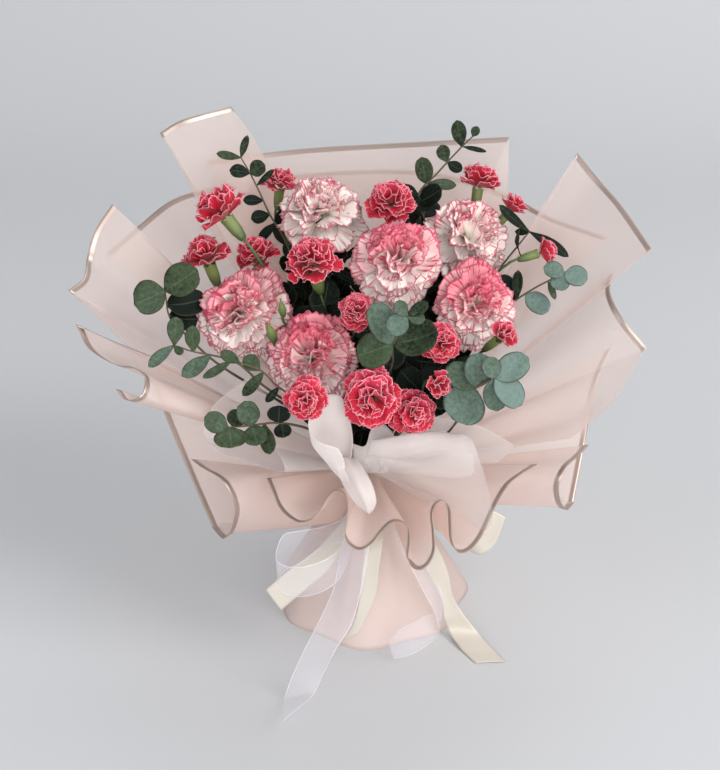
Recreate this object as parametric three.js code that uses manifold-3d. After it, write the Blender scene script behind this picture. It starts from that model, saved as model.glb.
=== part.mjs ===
// A hand-tied bunch of carnations and eucalyptus in matte film, standing on its spread stems.
// Units are millimetres, +Z is up, +X is right and -Y faces the viewer.
// The origin is the flat cut end of the central stem, on the table.
import * as THREE from "three";
import Module from "manifold-3d";

const wasm = await Module();
wasm.setup();
const { Manifold } = wasm;

// ---------------------------------------------------------------- driving dimensions
const NECK_TOP = 130;          // height at which the bunch opens above the tie
const NECK_BOTTOM = 104;       // height at which the stems spread below the tie
const SPIRAL_SPREAD = 4;       // how many times wider the stems stand at the table
const SPIRAL_TURN = 55;        // degrees the stems turn between the tie and the table
const LARGE_STEM = 4.6;        // stem diameters
const SPRAY_STEM = 3.6;
const LEAFY_STEM = 3.2;
const BRANCH = 2.2;
const STEM_GAP = 0.25;         // clear space between stems in the tie
const SLANT_ROOM = 0.535;      // half, and a little more because the stems stand aslant
const STEM_SIDES = 5;          // facets round a stem
const CALYX_SIDES = 6;         // facets round a calyx
const SEAT_GAP = 0.3;          // between a calyx and the petals that stand on it
const BLADE = 0.9;             // thickness of petals and leaves
const SLIVER = 0.08;           // features smaller than this are smoothed away
const FILM = 0.8;              // thickness of film, tissue and ribbon solids
const TIE = 1.4;               // thickness of the cord round the stems
const TIE_BOTTOM = 112;
const TIE_TOP = 120;
const TIE_GAP = 0.2;           // between the outermost stem and the cord
const LAYER_STEP = 1.15;       // each further layer lies this much farther out
const LAYER_DROP = 1.6;        // and opens this much lower
const EASE_PASSES = 8;          // how often the edge of a rolled sheet is evened out nearer the tie
const EASE_AT = 0.5;           // and where between the tie and the edge that is
const SKIRT_LAYER = 4;         // the foot skirt lies outside four layers of wraps
const SKIRT_TOP = 121.5;
const SKIRT_FOOT_RADIUS = 80;
const SKIRT_FOLDS = [[3.2, 7, 40], [2, 3, 0]];  // depth, folds round the hem, turn in degrees
const RIBBON_GAP = 0.35;       // between the foot skirt and a ribbon's band
const RIBBON_BAND = 1;         // thickness of that band
const GATHER = 0.3;            // share of its width that a ribbon keeps where it is tied
const GATHER_REACH = 0.25;     // share of its length over which it opens out
const RING_SIDES = 20;         // facets round the tie, the foot skirt and the bands

// ---------------------------------------------------------------- colours
const COLOUR = {
  largePetals: 0xf0b9bd,
  sprayPetals: 0xd2405a,
  stem: 0x5e7f3c,
  eucalyptus: 0x4f6f5c,
  film: 0xf1d8ce,
  tissue: 0xf0eaec,
  satin: 0xf0e6d6,
  organza: 0xe9e6ee,
  twine: 0xb79b77,
};

// ---------------------------------------------------------------- what stands where
// Each head: centre, radius and the way it faces.
const LARGE_HEADS = [
  { at: [-41, 45, 325], radius: 33, faces: [-0.05, -0.27, 0.96] },
  { at: [-99, -20, 267], radius: 35, faces: [-0.35, -0.77, 0.53] },
  { at: [-45, -65, 249], radius: 33, faces: [-0.1, -0.83, 0.55] },
  { at: [18, -30, 311], radius: 34, faces: [-0.05, -0.7, 0.71] },
  { at: [74, 25, 311], radius: 33, faces: [0.3, -0.52, 0.8] },
  { at: [75, -55, 288], radius: 31, faces: [0.25, -0.85, 0.45] },
];

// Sprays fork below their heads; a head may bend its branch through a "via" point.
const SPRAYS = [
  { fork: [-46, 26, 214], heads: [
    { form: "cup", at: [-116, 15, 336], radius: 22, faces: [-0.62, 0.24, 0.74] },
    { form: "cup", via: [-84, 40, 246], at: [-129, 15, 299], radius: 20, faces: [-0.31, 0.04, 0.95] },
    { form: "cup", at: [-91, 32, 293], radius: 19, faces: [-0.21, -0.12, 0.97] },
  ] },
  { fork: [-22, -34, 232], heads: [
    { form: "open", at: [-45, -35, 312], radius: 22, faces: [-0.2, -0.23, 0.95] },
    { form: "open", at: [-12, -70, 287], radius: 14, faces: [0, -0.8, 0.6] },
  ] },
  { fork: [-8, 30, 222], heads: [
    { form: "cup", at: [-74, 80, 338], radius: 15, faces: [0.15, 0, 0.99] },
    { form: "open", at: [15, 35, 336], radius: 20, faces: [0, -0.47, 0.88] },
  ] },
  { fork: [46, 26, 222], heads: [
    { form: "cup", via: [64, 66, 272], at: [86, 72, 342], radius: 17, faces: [0.15, 0.32, 0.93] },
    { form: "bud", via: [84, 50, 280], at: [113, 60, 326], radius: 13, faces: [0.62, 0.23, 0.75] },
    { form: "bud", at: [132, 0, 309], radius: 12, faces: [0.95, 0.08, 0.29] },
  ] },
  { fork: [36, -58, 204], heads: [
    { form: "open", at: [28, -110, 226], radius: 17, faces: [0.2, -0.93, 0.32] },
    { form: "open", at: [48, -95, 274], radius: 15, faces: [0.2, -0.84, 0.5] },
    { form: "bud", at: [46, -120, 252], radius: 11, faces: [0.3, -0.9, 0.3] },
    { form: "bud", at: [93, -95, 280], radius: 12, faces: [0.61, -0.34, 0.72] },
  ] },
  { fork: [-8, -62, 192], heads: [
    { form: "open", at: [-1, -125, 245], radius: 22, faces: [-0.05, -0.91, 0.42] },
    { form: "open", at: [-48, -125, 243], radius: 16, faces: [-0.2, -0.93, 0.32] },
  ] },
];

// Each leafy spray: its stem above the tie, then its leaves as
// [place along the stem in points, leaf tip, leaf width].
const LEAFY = {
  eucalyptus_far_left: {
    stem: [[-120, -40, 234], [-141, -45, 259], [-153, -40, 272], [-152, -40, 290]],
    leaves: [
      [3, [-176, -45, 284], 27], [3, [-131, -30, 306], 24],
      [2.2, [-128, -20, 266], 20], [2.4, [-139, -58, 262], 12],
    ],
  },
  eucalyptus_left_narrow: {
    stem: [[-82, -75, 231], [-102, -70, 247], [-118, -75, 255], [-134, -75, 259], [-146, -75, 264]],
    leaves: [
      [4, [-140, -88, 250], 10], [4, [-148, -75, 285], 10], [3.2, [-129, -75, 279], 9],
      [3.4, [-162, -85, 248], 9], [2, [-139, -95, 243], 11], [1.2, [-123, -95, 240], 7],
    ],
  },
  eucalyptus_left_small: {
    stem: [[-55, -85, 222], [-72, -90, 239], [-84, -90, 250], [-94, -90, 256]],
    leaves: [
      [3, [-103, -85, 266], 12], [2.2, [-75, -80, 266], 11],
      [2, [-95, -100, 236], 9], [1, [-79, -105, 230], 7],
    ],
  },
  eucalyptus_lower_left: {
    stem: [[-50, -96, 206], [-71, -110, 217], [-89, -115, 216], [-103, -118, 215]],
    leaves: [
      [3, [-122, -120, 224], 17], [3, [-98, -130, 200], 22], [2.6, [-102, -110, 234], 17],
      [1.7, [-92, -118, 238], 20], [1.2, [-77, -130, 198], 14],
      [0.5, [-56, -118, 202], 15], [0.7, [-62, -108, 230], 15],
    ],
  },
  eucalyptus_centre: {
    stem: [[9, -75, 231], [14, -90, 258], [16, -115, 286], [17, -125, 298]],
    leaves: [
      [1.2, [-13, -105, 276], 25], [1.2, [43, -108, 282], 26], [2.1, [-1, -118, 308], 19],
      [2.1, [27, -130, 280], 20], [3, [12, -128, 318], 11], [3, [32, -128, 311], 12],
    ],
  },
  eucalyptus_right_low: {
    stem: [[50, -85, 190], [69, -105, 229], [79, -120, 252], [83, -128, 262]],
    leaves: [
      [1, [52, -108, 258], 24], [1, [60, -122, 212], 31], [2.2, [103, -118, 275], 22],
      [2.2, [108, -130, 246], 23], [2.6, [72, -142, 244], 19], [3, [97, -140, 266], 14],
    ],
  },
  eucalyptus_right: {
    stem: [[83, -20, 252], [105, -15, 277], [124, -15, 289], [141, -15, 299]],
    leaves: [
      [1.1, [109, -5, 297], 16], [1.3, [112, -28, 270], 16], [2, [133, -25, 270], 17],
      [3, [130, -17, 314], 15], [3, [162, -20, 296], 17], [2.7, [147, -27, 284], 12],
    ],
  },
  eucalyptus_top_right: {
    stem: [[43, 55, 307], [42, 62, 330], [54, 66, 358], [66, 66, 373], [77, 66, 383]],
    leaves: [
      [1, [24, 62, 345], 11], [1.2, [48, 55, 322], 9], [1.6, [36, 66, 364], 13],
      [2, [68, 62, 346], 9], [2.5, [46, 66, 376], 12], [2.7, [80, 62, 362], 11],
      [3.4, [64, 66, 394], 13], [4, [92, 66, 390], 8],
    ],
  },
  eucalyptus_top_left: {
    stem: [[-70, 55, 299], [-82, 60, 316], [-88, 62, 334], [-97, 64, 353], [-105, 66, 365]],
    leaves: [
      [1, [-102, 60, 308], 12], [1.6, [-106, 61, 325], 12], [2.2, [-70, 54, 348], 10],
      [3, [-118, 64, 350], 12], [3, [-82, 64, 362], 11], [4, [-124, 66, 370], 8],
      [4, [-94, 64, 384], 6],
    ],
  },
  eucalyptus_right_edge: {
    stem: [[85, 15, 263], [100, 18, 288], [110, 20, 304], [119, 20, 318]],
    leaves: [[3, [97, 22, 340], 9], [3, [146, 18, 308], 10], [2.4, [135, 34, 326], 12]],
  },
};

// Wrap sheets, from their arc in the tie (degrees from +X) to their outer edge.
// An edge is a list of stretches; stretches meet in the corners of the sheet.
const WRAPS = {
  tissue_left: { layer: 0, arc: [206, 266], tissue: true, edge: [
    [[-94, -64, 232], [-116, -82, 212], [-120, -98, 194], [-99, -114, 180], [-78, -122, 178]],
    [[-78, -122, 178], [-70, -126, 186], [-60, -132, 196], [-44, -138, 192], [-37, -150, 222],
      [-28, -154, 244], [-18, -152, 246], [-12, -144, 226], [-8, -134, 196]],
  ] },
  tissue_right: { layer: 0, arc: [270, 328], tissue: true, edge: [
    [[2, -120, 168], [4, -136, 192], [15, -148, 208], [38, -152, 212], [60, -150, 208],
      [76, -146, 194], [88, -140, 170], [92, -134, 150], [100, -118, 158], [106, -100, 186],
      [118, -82, 220]],
  ] },
  film_back_left: { layer: 0, arc: [157, 120], edge: [
    [[-130, 92, 287], [-152, 92, 340], [-170, 88, 378]],
    [[-170, 88, 378], [-156, 92, 386], [-137, 102, 390], [-115, 118, 392]],
    [[-115, 118, 392], [-96, 117, 364], [-78, 112, 327]],
  ] },
  film_right_wing: { layer: 0, arc: [40, -20], edge: [
    [[98, 40, 262], [136, 58, 326], [164, 76, 365]],
    [[164, 76, 365], [178, 62, 350], [192, 36, 338], [206, 4, 322], [212, -12, 315]],
  ] },
  film_left_wing: { layer: 0, arc: [160, 187], edge: [
    [[-140, 22, 262], [-172, 30, 304], [-203, 34, 336]],
    [[-203, 34, 336], [-216, 22, 318], [-222, 14, 300], [-222, -6, 290], [-230, -28, 288]],
  ] },
  film_back_top: { layer: 1, arc: [140, 44], edge: [
    [[-137, 124, 341], [-59, 145, 345], [40, 145, 351], [114, 124, 361]],
    [[114, 124, 361], [113, 108, 321], [106, 74, 275]],
  ] },
  film_right_fold: { layer: 1, arc: [-2, -46], edge: [
    [[186, 4, 290], [182, -16, 282], [188, -38, 270], [206, -50, 250]],
    [[206, -50, 250], [180, -66, 212], [150, -74, 186]],
  ] },
  film_left_roll: { layer: 1, arc: [190, 214], rolled: true, edge: [
    [[-166, -52, 244], [-200, -38, 252], [-228, -22, 258]],
    [[-228, -22, 258], [-218, -34, 244], [-196, -52, 238], [-178, -68, 242], [-168, -82, 240],
      [-170, -94, 231], [-182, -90, 226], [-190, -80, 230]],
  ] },
  film_back_arch: { layer: 2, arc: [168, 20], edge: [
    [[-217, 70, 283], [-194, 100, 296], [-165, 125, 312], [-108, 150, 319], [-26, 165, 324],
      [54, 153, 326], [115, 130, 314], [149, 100, 304], [192, 66, 298]],
  ] },
  film_front_ruffle: { layer: 2, arc: [230, 326], edge: [
    [[-80, -100, 160], [-68, -116, 144], [-54, -126, 138], [-40, -126, 146], [-32, -116, 156],
      [-25, -112, 158], [-20, -116, 148], [-18, -128, 130], [-10, -140, 116], [0, -138, 124],
      [10, -126, 134], [20, -122, 134], [27, -130, 120], [34, -142, 104], [44, -138, 112],
      [48, -124, 132], [53, -116, 144], [60, -124, 136], [68, -136, 118], [84, -130, 118],
      [96, -114, 138], [112, -98, 158], [126, -82, 166]],
  ] },
  film_lower_left: { layer: 3, arc: [168, 226], rolled: true, edge: [
    [[-184, 38, 188], [-171, 20, 162], [-150, -10, 124], [-127, -52, 94]],
    [[-127, -52, 94], [-117, -74, 98], [-108, -92, 118], [-104, -100, 142], [-112, -98, 162],
      [-130, -84, 167], [-138, -74, 168]],
  ] },
  film_lower_right: { layer: 3, arc: [14, -50], rolled: true, edge: [
    [[196, 34, 214], [182, 14, 190], [172, -10, 148], [160, -46, 113]],
    [[160, -46, 113], [152, -64, 118], [144, -78, 136], [142, -84, 154], [148, -78, 164],
      [160, -62, 166], [168, -50, 168]],
  ] },
};

// Ribbons: each strip has its middle line and the direction of its width at both ends.
const SATIN = {
  bottom: 105.5,
  top: 114.5,
  width: 20,
  strips: [
    { from: 228, across: [[0.6, 0.2, 0.75], [0.45, 0.25, 0.85]],
      path: [[-28, -37, 103], [-44, -58, 96], [-60, -74, 80], [-78, -84, 62]] },
    { from: 272, across: [[1, 0, 0], [0.98, 0, -0.2]],
      path: [[3, -50, 106], [1, -76, 94], [-4, -92, 62], [-12, -98, 26]] },
    { from: 294, across: [[0.9, 0.4, 0], [0.6, 0.8, 0]],
      path: [[26, -52, 106], [44, -86, 80], [58, -102, 40], [72, -108, 10], [88, -118, 1],
        [108, -130, 1]] },
    { from: 318, to: 342, across: [[-0.2, 0.5, 0.8], [-0.2, 0.5, 0.8]],
      path: [[50, -42, 106], [86, -58, 100], [100, -56, 92], [88, -44, 86], [54, -24, 98]] },
  ],
};
const ORGANZA = {
  bottom: 115.2,
  top: 120.8,
  width: 34,
  strips: [
    { from: 240, to: 256, across: [[0.3, -0.8, 0.5], [0.3, -0.8, 0.5]],
      path: [[-30, -50, 116], [-54, -94, 106], [-70, -114, 86], [-60, -124, 66], [-38, -122, 68],
        [-22, -104, 88], [-12, -60, 108]] },
    { from: 268, across: [[1, 0, 0], [0.9, -0.4, 0]],
      path: [[-6, -70, 114], [-12, -116, 100], [-22, -128, 66], [-34, -134, 30], [-44, -150, 4],
        [-56, -178, 1], [-68, -206, 1]] },
    { from: 296, across: [[0.9, 0.2, 0.3], [0.8, 0.1, 0.6]],
      path: [[26, -70, 112], [42, -114, 98], [52, -124, 68], [46, -124, 38], [26, -126, 16]] },
  ],
};

// Leaf outlines, as [share of the length, share of the half width].
const ROUND_LEAF = 15.5;
const ROUND_OUTLINE = [[0, 0.12], [0.3, 0.82], [0.62, 1], [0.88, 0.62], [1, 0.1]];
const NARROW_OUTLINE = [[0, 0.12], [0.4, 1], [0.75, 0.8], [1, 0.1]];

// ---------------------------------------------------------------- petal layers
// Each ring of petals, from the outside in: count, tilt in degrees above the head's face,
// reach and root height as shares of the head's radius.
const PETAL_RINGS = {
  large: [
    { count: 5, tilt: -8, reach: 1, root: -0.22 },
    { count: 5, tilt: 14, reach: 0.98, root: -0.12 },
    { count: 4, tilt: 36, reach: 0.86, root: -0.04 },
    { count: 3, tilt: 62, reach: 0.64, root: 0.02 },
  ],
  open: [
    { count: 4, tilt: -2, reach: 1, root: -0.2 },
    { count: 3, tilt: 28, reach: 0.9, root: -0.08 },
    { count: 2, tilt: 58, reach: 0.66, root: 0.02 },
  ],
  cup: [
    { count: 4, tilt: 14, reach: 1.02, root: -0.28 },
    { count: 3, tilt: 38, reach: 0.94, root: -0.16 },
    { count: 2, tilt: 64, reach: 0.74, root: 0 },
  ],
  bud: [
    { count: 4, tilt: 34, reach: 1.12, root: -0.4 },
    { count: 3, tilt: 62, reach: 1.1, root: -0.3 },
  ],
};
const RING_FILL = 0.9;         // share of the circle that a ring's petals cover
const PETAL_COLUMNS = { large: 4, open: 3, cup: 3, bud: 3 };
const RUFFLE = 0.05;           // wave of a petal's edge, as a share of the radius
const FRINGE = 0.08;           // depth of its teeth
const ROOT = 0.22;             // where a petal starts inside the heart
const CLAW = 0.46;             // where its narrow claw opens into the blade
const CLAW_SPREAD = 0.5;       // and how wide it is there, as a share of the petal
const HEART_SIDES = 5;         // facets round the heart
const CORE_SHARE = 0.4;        // radius of the closed heart of a head
const TOUCH_GAP = 0.5;         // from a head to the plane it shares with a neighbour
const FREE_SHARE = 0.55;       // share of the way to that plane that stays unpressed

// ---------------------------------------------------------------- stalks under the heads
const CALYX_LENGTH = 10;       // plus a share of the head's radius
const CALYX_SHARE = 0.45;
const LARGE_APPROACH = 20;     // a large stem's last straight stretch
const SPRAY_APPROACH = 0.5;    // the same of a branch, as a share of the head's radius
const FORK_OVERLAP = 3;        // how far a branch starts inside its stem

// ---------------------------------------------------------------- packing of the stems
const FIRST_SPREAD = 9;        // how far out a stem first stands, for each unit of its lean
const PACK_ROUNDS = 700;
const PULL_ROUNDS = 500;       // rounds in which all stems are also drawn to the middle
const PULL = 0.985;            // what is left of a stem's distance after one such pull
const SPIRAL_SHARES = [-0.05, 0.3, 0.6, 0.85];  // heights of the spread path, from the table to the tie
const SPIRAL_EASE = 1.25;      // how the spread and the turn grow towards the table

// ---------------------------------------------------------------- small helpers
const rad = THREE.MathUtils.degToRad;
const vec = (p) => new THREE.Vector3(p[0], p[1], p[2]);
const polar = (radius, degrees, z) =>
  new THREE.Vector3(radius * Math.cos(rad(degrees)), radius * Math.sin(rad(degrees)), z);

/** A closed solid of a list of corners and a list of triangles. */
function solidOf(corners, triangles) {
  const vertProperties = new Float32Array(corners.flatMap((p) => [p.x, p.y, p.z]));
  const triVerts = new Uint32Array(triangles.flat());
  const mesh = new wasm.Mesh({ numProp: 3, vertProperties, triVerts });
  mesh.merge();
  const solid = new Manifold(mesh);
  return solid.volume() < 0 ? solidOf(corners, triangles.map(([a, b, c]) => [a, c, b])) : solid;
}

/** A three.js geometry turned into a closed solid. */
function solidOfGeometry(geometry) {
  const flat = geometry.index ? geometry.toNonIndexed() : geometry;
  const place = flat.attributes.position;
  const corners = [];
  const triangles = [];
  const seen = new Map();
  for (let i = 0; i < place.count; i += 3) {
    const triangle = [0, 1, 2].map((k) => {
      const p = new THREE.Vector3().fromBufferAttribute(place, i + k);
      const key = p.toArray().map((value) => Math.round(value * 1e4)).join();
      if (!seen.has(key)) {
        seen.set(key, corners.length);
        corners.push(p);
      }
      return seen.get(key);
    });
    if (new Set(triangle).size === 3) triangles.push(triangle);
  }
  return solidOf(corners, triangles);
}

/** A plate between two grids of points, closed round its rim; rows may close on themselves. */
function plateOf(front, back, closed = false) {
  const rows = front.length;
  const columns = front[0].length;
  const corners = [...front.flat(), ...back.flat()];
  const f = (i, j) => i * columns + (j % columns);
  const b = (i, j) => rows * columns + f(i, j);
  const triangles = [];
  const quad = (p, q, r, s) => triangles.push([p, q, r], [p, r, s]);
  const last = closed ? columns : columns - 1;
  for (let i = 0; i < rows - 1; i += 1) {
    for (let j = 0; j < last; j += 1) {
      quad(f(i, j), f(i + 1, j), f(i + 1, j + 1), f(i, j + 1));
      quad(b(i, j), b(i, j + 1), b(i + 1, j + 1), b(i + 1, j));
    }
  }
  for (let j = 0; j < last; j += 1) {
    quad(f(0, j), f(0, j + 1), b(0, j + 1), b(0, j));
    quad(f(rows - 1, j), b(rows - 1, j), b(rows - 1, j + 1), f(rows - 1, j + 1));
  }
  if (!closed) {
    for (let i = 0; i < rows - 1; i += 1) {
      quad(f(i, 0), b(i, 0), b(i + 1, 0), f(i + 1, 0));
      quad(f(i, last), f(i + 1, last), b(i + 1, last), b(i, last));
    }
  }
  return solidOf(corners, triangles);
}

/** A plate of even thickness about a grid of points. */
function sheetPlate(grid, thickness) {
  const normals = grid.map((row, i) => row.map((_, j) => {
    const down = grid[Math.min(i + 1, grid.length - 1)][j].clone();
    down.sub(grid[Math.max(i - 1, 0)][j]);
    const along = row[Math.min(j + 1, row.length - 1)].clone().sub(row[Math.max(j - 1, 0)]);
    return down.cross(along).normalize();
  }));
  const offset = (side) => grid.map((row, i) => row.map((point, j) =>
    point.clone().addScaledVector(normals[i][j], side * thickness / 2)));
  return plateOf(offset(1), offset(-1));
}

/** A tube along a smooth path, with a ring of corners at every point of it. */
function tube(points, diameter) {
  const section = new THREE.Shape();
  for (let i = 0; i < STEM_SIDES; i += 1) {
    const corner = polar(diameter / 2, i * 360 / STEM_SIDES, 0);
    if (i === 0) section.moveTo(corner.x, corner.y);
    else section.lineTo(corner.x, corner.y);
  }
  const extrudePath = new THREE.CatmullRomCurve3(points, false, "centripetal");
  extrudePath.getUtoTmapping = (share) => share;
  const steps = points.length - 1;
  const options = { steps, curveSegments: 1, bevelEnabled: false, extrudePath };
  return solidOfGeometry(new THREE.ExtrudeGeometry(section, options));
}

/** A lathe-turned solid on an axis through a point. */
function turned(profile, sides, at, axis) {
  const points = profile.map(([radius, height]) => new THREE.Vector2(radius, height));
  const geometry = new THREE.LatheGeometry(points, sides);
  const turn = new THREE.Quaternion().setFromUnitVectors(new THREE.Vector3(0, 1, 0), axis);
  geometry.applyQuaternion(turn);
  geometry.translate(at.x, at.y, at.z);
  return solidOfGeometry(geometry);
}

/** Several solids joined, without slivers or loose scraps. */
function joined(pieces) {
  const parts = Manifold.union(pieces).simplify(SLIVER).decompose();
  return parts.reduce((best, part) => (part.volume() > best.volume() ? part : best));
}

/** Move every corner of a solid by a rule. */
function bent(solid, rule) {
  return solid.warp((corner) => {
    const moved = rule(new THREE.Vector3(corner[0], corner[1], corner[2]));
    corner[0] = moved.x;
    corner[1] = moved.y;
    corner[2] = moved.z;
  });
}

// ---------------------------------------------------------------- flower heads
const heads = [
  ...LARGE_HEADS.map((head, i) => ({ ...head, form: "large", name: `large_bloom_${i + 1}` })),
  ...SPRAYS.flatMap((spray) => spray.heads),
];
let sprayHeadCount = 0;
for (const head of heads) {
  head.centre = vec(head.at);
  head.axis = vec(head.faces).normalize();
  head.calyxRadius = 0.2 * head.radius + 1.4;
  head.floor = head.form === "bud" ? -0.5 * head.radius : -0.32 * head.radius;
  if (head.form !== "large") {
    sprayHeadCount += 1;
    head.name = `spray_bloom_${String(sprayHeadCount).padStart(2, "0")}`;
  }
}

/** Press a point of a head back from the plane it shares with each close neighbour. */
function pressed(point, head) {
  const held = point.clone();
  for (const other of heads) {
    const apart = other.centre.distanceTo(head.centre);
    if (other === head || apart > head.radius + other.radius + 4) continue;
    const towards = other.centre.clone().sub(head.centre).normalize();
    const wall = apart * head.radius / (head.radius + other.radius) - TOUCH_GAP;
    const free = wall * FREE_SHARE;
    const depth = held.clone().sub(head.centre).dot(towards);
    if (depth <= free) continue;
    const room = wall - free;
    const squeezed = free + room * (1 - Math.exp(-(depth - free) / room));
    held.addScaledVector(towards, squeezed - depth);
  }
  return held;
}

/** One fringed petal blade in a head's own frame, where +Z is the way it faces. */
function petal(radius, ring, turn, columns) {
  const spread = 360 / ring.count * RING_FILL;
  const tilt = rad(ring.tilt);
  const point = (share, degrees, lift) => {
    const out = share * Math.cos(tilt) - lift * Math.sin(tilt);
    const up = ring.root + share * Math.sin(tilt) + lift * Math.cos(tilt);
    return polar(out * radius, degrees, up * radius);
  };
  const half = BLADE / 2 / radius;
  const corners = [];
  for (const side of [half, -half]) {
    for (const share of [ROOT, CLAW]) {
      for (const edge of [-0.5, 0.5]) {
        corners.push(point(share, turn + edge * spread * CLAW_SPREAD, side));
      }
    }
    for (let j = 0; j <= columns; j += 1) {
      const degrees = turn + (j / columns - 0.5) * spread;
      const wave = j % 2 ? RUFFLE : -RUFFLE;
      const tooth = j % 2 ? 0 : FRINGE;
      corners.push(point(ring.reach - tooth, degrees, wave + side));
    }
  }
  const triangles = [];
  const back = corners.length / 2;
  const both = (a, b, c) => triangles.push([a, b, c], [a + back, c + back, b + back]);
  const rim = (a, b) => triangles.push([a, a + back, b + back], [a, b + back, b]);
  both(0, 1, 3);
  both(0, 3, 2);
  const middle = Math.floor(columns / 2);
  for (let j = 0; j < columns; j += 1) {
    both(j < middle ? 2 : 3, 5 + j, 4 + j);
    rim(5 + j, 4 + j);
  }
  both(2, 3, 4 + middle);
  rim(0, 1);
  rim(1, 3);
  rim(3, 4 + columns);
  rim(4, 2);
  rim(2, 0);
  return solidOf(corners, triangles);
}

/** A whole head: its closed heart and the petals in their rings. */
function bloom(head) {
  const { radius, form } = head;
  const core = CORE_SHARE * radius;
  const profile = [[0, head.floor], [head.calyxRadius, head.floor], [core, 0], [0, core]];
  const up = new THREE.Vector3(0, 0, 1);
  const pieces = [turned(profile, HEART_SIDES, new THREE.Vector3(), up)];
  PETAL_RINGS[form].forEach((ring, level) => {
    for (let i = 0; i < ring.count; i += 1) {
      const turn = (i + 0.5 * (level % 2)) * 360 / ring.count + level * 11;
      pieces.push(petal(radius, ring, turn, PETAL_COLUMNS[form]));
    }
  });
  const turn = new THREE.Quaternion().setFromUnitVectors(up, head.axis);
  return bent(joined(pieces), (corner) =>
    pressed(corner.applyQuaternion(turn).add(head.centre), head));
}

// ---------------------------------------------------------------- stems
/** Centre of a head's calyx end, and the point from which its stalk comes. */
function calyxEnd(head) {
  const length = CALYX_LENGTH + CALYX_SHARE * head.radius;
  const end = head.centre.clone().addScaledVector(head.axis, head.floor - SEAT_GAP - length);
  return { end, length };
}

/** The green cup under a head. */
function calyx(head) {
  const { end, length } = calyxEnd(head);
  const mouth = head.calyxRadius;
  const profile = [
    [0, 0], [mouth * 0.5, 0], [mouth * 0.9, length * 0.4], [mouth, length], [0, length],
  ];
  return turned(profile, CALYX_SIDES, end, head.axis);
}

/** Points of a stalk's last stretch, so that it arrives along the head's axis. */
function approach(head) {
  const { end, length } = calyxEnd(head);
  const back = head.form === "large" ? LARGE_APPROACH : SPRAY_APPROACH * head.radius;
  const points = head.via ? [vec(head.via)] : [];
  points.push(end.clone().addScaledVector(head.axis, -back));
  points.push(end.clone().addScaledVector(head.axis, length * 0.4));
  return points;
}

// Every stem through the tie, with the point that it leans to.
const stems = [
  ...LARGE_HEADS.map((_, i) => {
    const head = heads[i];
    const leads = approach(head);
    const name = `large_stem_${i + 1}`;
    return { name, diameter: LARGE_STEM, lean: leads[0], leads, heads: [head] };
  }),
  ...SPRAYS.map((spray, i) => ({
    name: `spray_stem_${i + 1}`, diameter: SPRAY_STEM, lean: vec(spray.fork), leads: [vec(spray.fork)],
    heads: spray.heads,
  })),
  ...Object.entries(LEAFY).map(([name, leafy]) => ({
    name, diameter: LEAFY_STEM, lean: vec(leafy.stem[0]), leads: leafy.stem.map(vec), heads: [],
    leaves: leafy.leaves,
  })),
];

/** Pack the stems round the central one, each on the side that it leans to. */
function packStems() {
  const central = stems[3];
  for (const stem of stems) {
    const rise = stem.lean.z - NECK_TOP;
    stem.place = new THREE.Vector2(stem.lean.x, stem.lean.y).multiplyScalar(FIRST_SPREAD / rise);
  }
  central.place.set(0, 0);
  for (let round = 0; round < PACK_ROUNDS; round += 1) {
    stems.forEach((a, i) => stems.slice(i + 1).forEach((b) => {
      const between = b.place.clone().sub(a.place);
      const least = (a.diameter + b.diameter) * SLANT_ROOM + STEM_GAP;
      const short = least - between.length();
      if (short <= 0) return;
      between.normalize().multiplyScalar(short / 2);
      a.place.sub(between);
      b.place.add(between);
    }));
    for (const stem of stems) stem.place.multiplyScalar(round < PULL_ROUNDS ? PULL : 1);
    central.place.set(0, 0);
  }
}
packStems();
const packed = Math.max(...stems.map((stem) => stem.place.length() + stem.diameter / 2));
const tieOuter = packed + TIE_GAP + TIE;

/** A stem's path from under the table, up the spiral and through the tie. */
function rootPath(stem) {
  const points = [];
  for (const share of SPIRAL_SHARES) {
    const ease = (1 - share) ** SPIRAL_EASE;
    const place = stem.place.clone().multiplyScalar(1 + (SPIRAL_SPREAD - 1) * ease);
    place.rotateAround(new THREE.Vector2(), rad(SPIRAL_TURN) * ease);
    points.push(new THREE.Vector3(place.x, place.y, NECK_BOTTOM * share));
  }
  for (const z of [NECK_BOTTOM, NECK_TOP]) {
    points.push(new THREE.Vector3(stem.place.x, stem.place.y, z));
  }
  return points;
}

/** One round or narrow leaf from a point on its stem to its tip. */
function leaf(root, tip, width) {
  const along = tip.clone().sub(root);
  const length = along.length();
  along.normalize();
  const toViewer = new THREE.Vector3(0, -0.8, 0.6);
  const across = along.clone().cross(toViewer).normalize();
  const normal = across.clone().cross(along).normalize();
  const outline = width > ROUND_LEAF ? ROUND_OUTLINE : NARROW_OUTLINE;
  const rim = [
    ...outline.map(([share, half]) => [share, half]),
    ...outline.slice(1, -1).reverse().map(([share, half]) => [share, -half]),
  ];
  const corners = [];
  for (const side of [1, -1]) {
    const lift = side * BLADE / 2;
    const middle = root.clone().addScaledVector(along, length * 0.55);
    corners.push(middle.addScaledVector(normal, lift - width * 0.07));
    for (const [share, half] of rim) {
      const point = root.clone().addScaledVector(along, length * share);
      point.addScaledVector(across, half * width / 2);
      corners.push(point.addScaledVector(normal, lift));
    }
  }
  const count = rim.length;
  const triangles = [];
  for (let i = 0; i < count; i += 1) {
    const next = (i + 1) % count;
    const [a, b] = [1 + i, 1 + next];
    const [c, d] = [count + 2 + i, count + 2 + next];
    triangles.push([0, a, b], [count + 1, d, c], [a, c, d], [a, d, b]);
  }
  return solidOf(corners, triangles);
}

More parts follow.
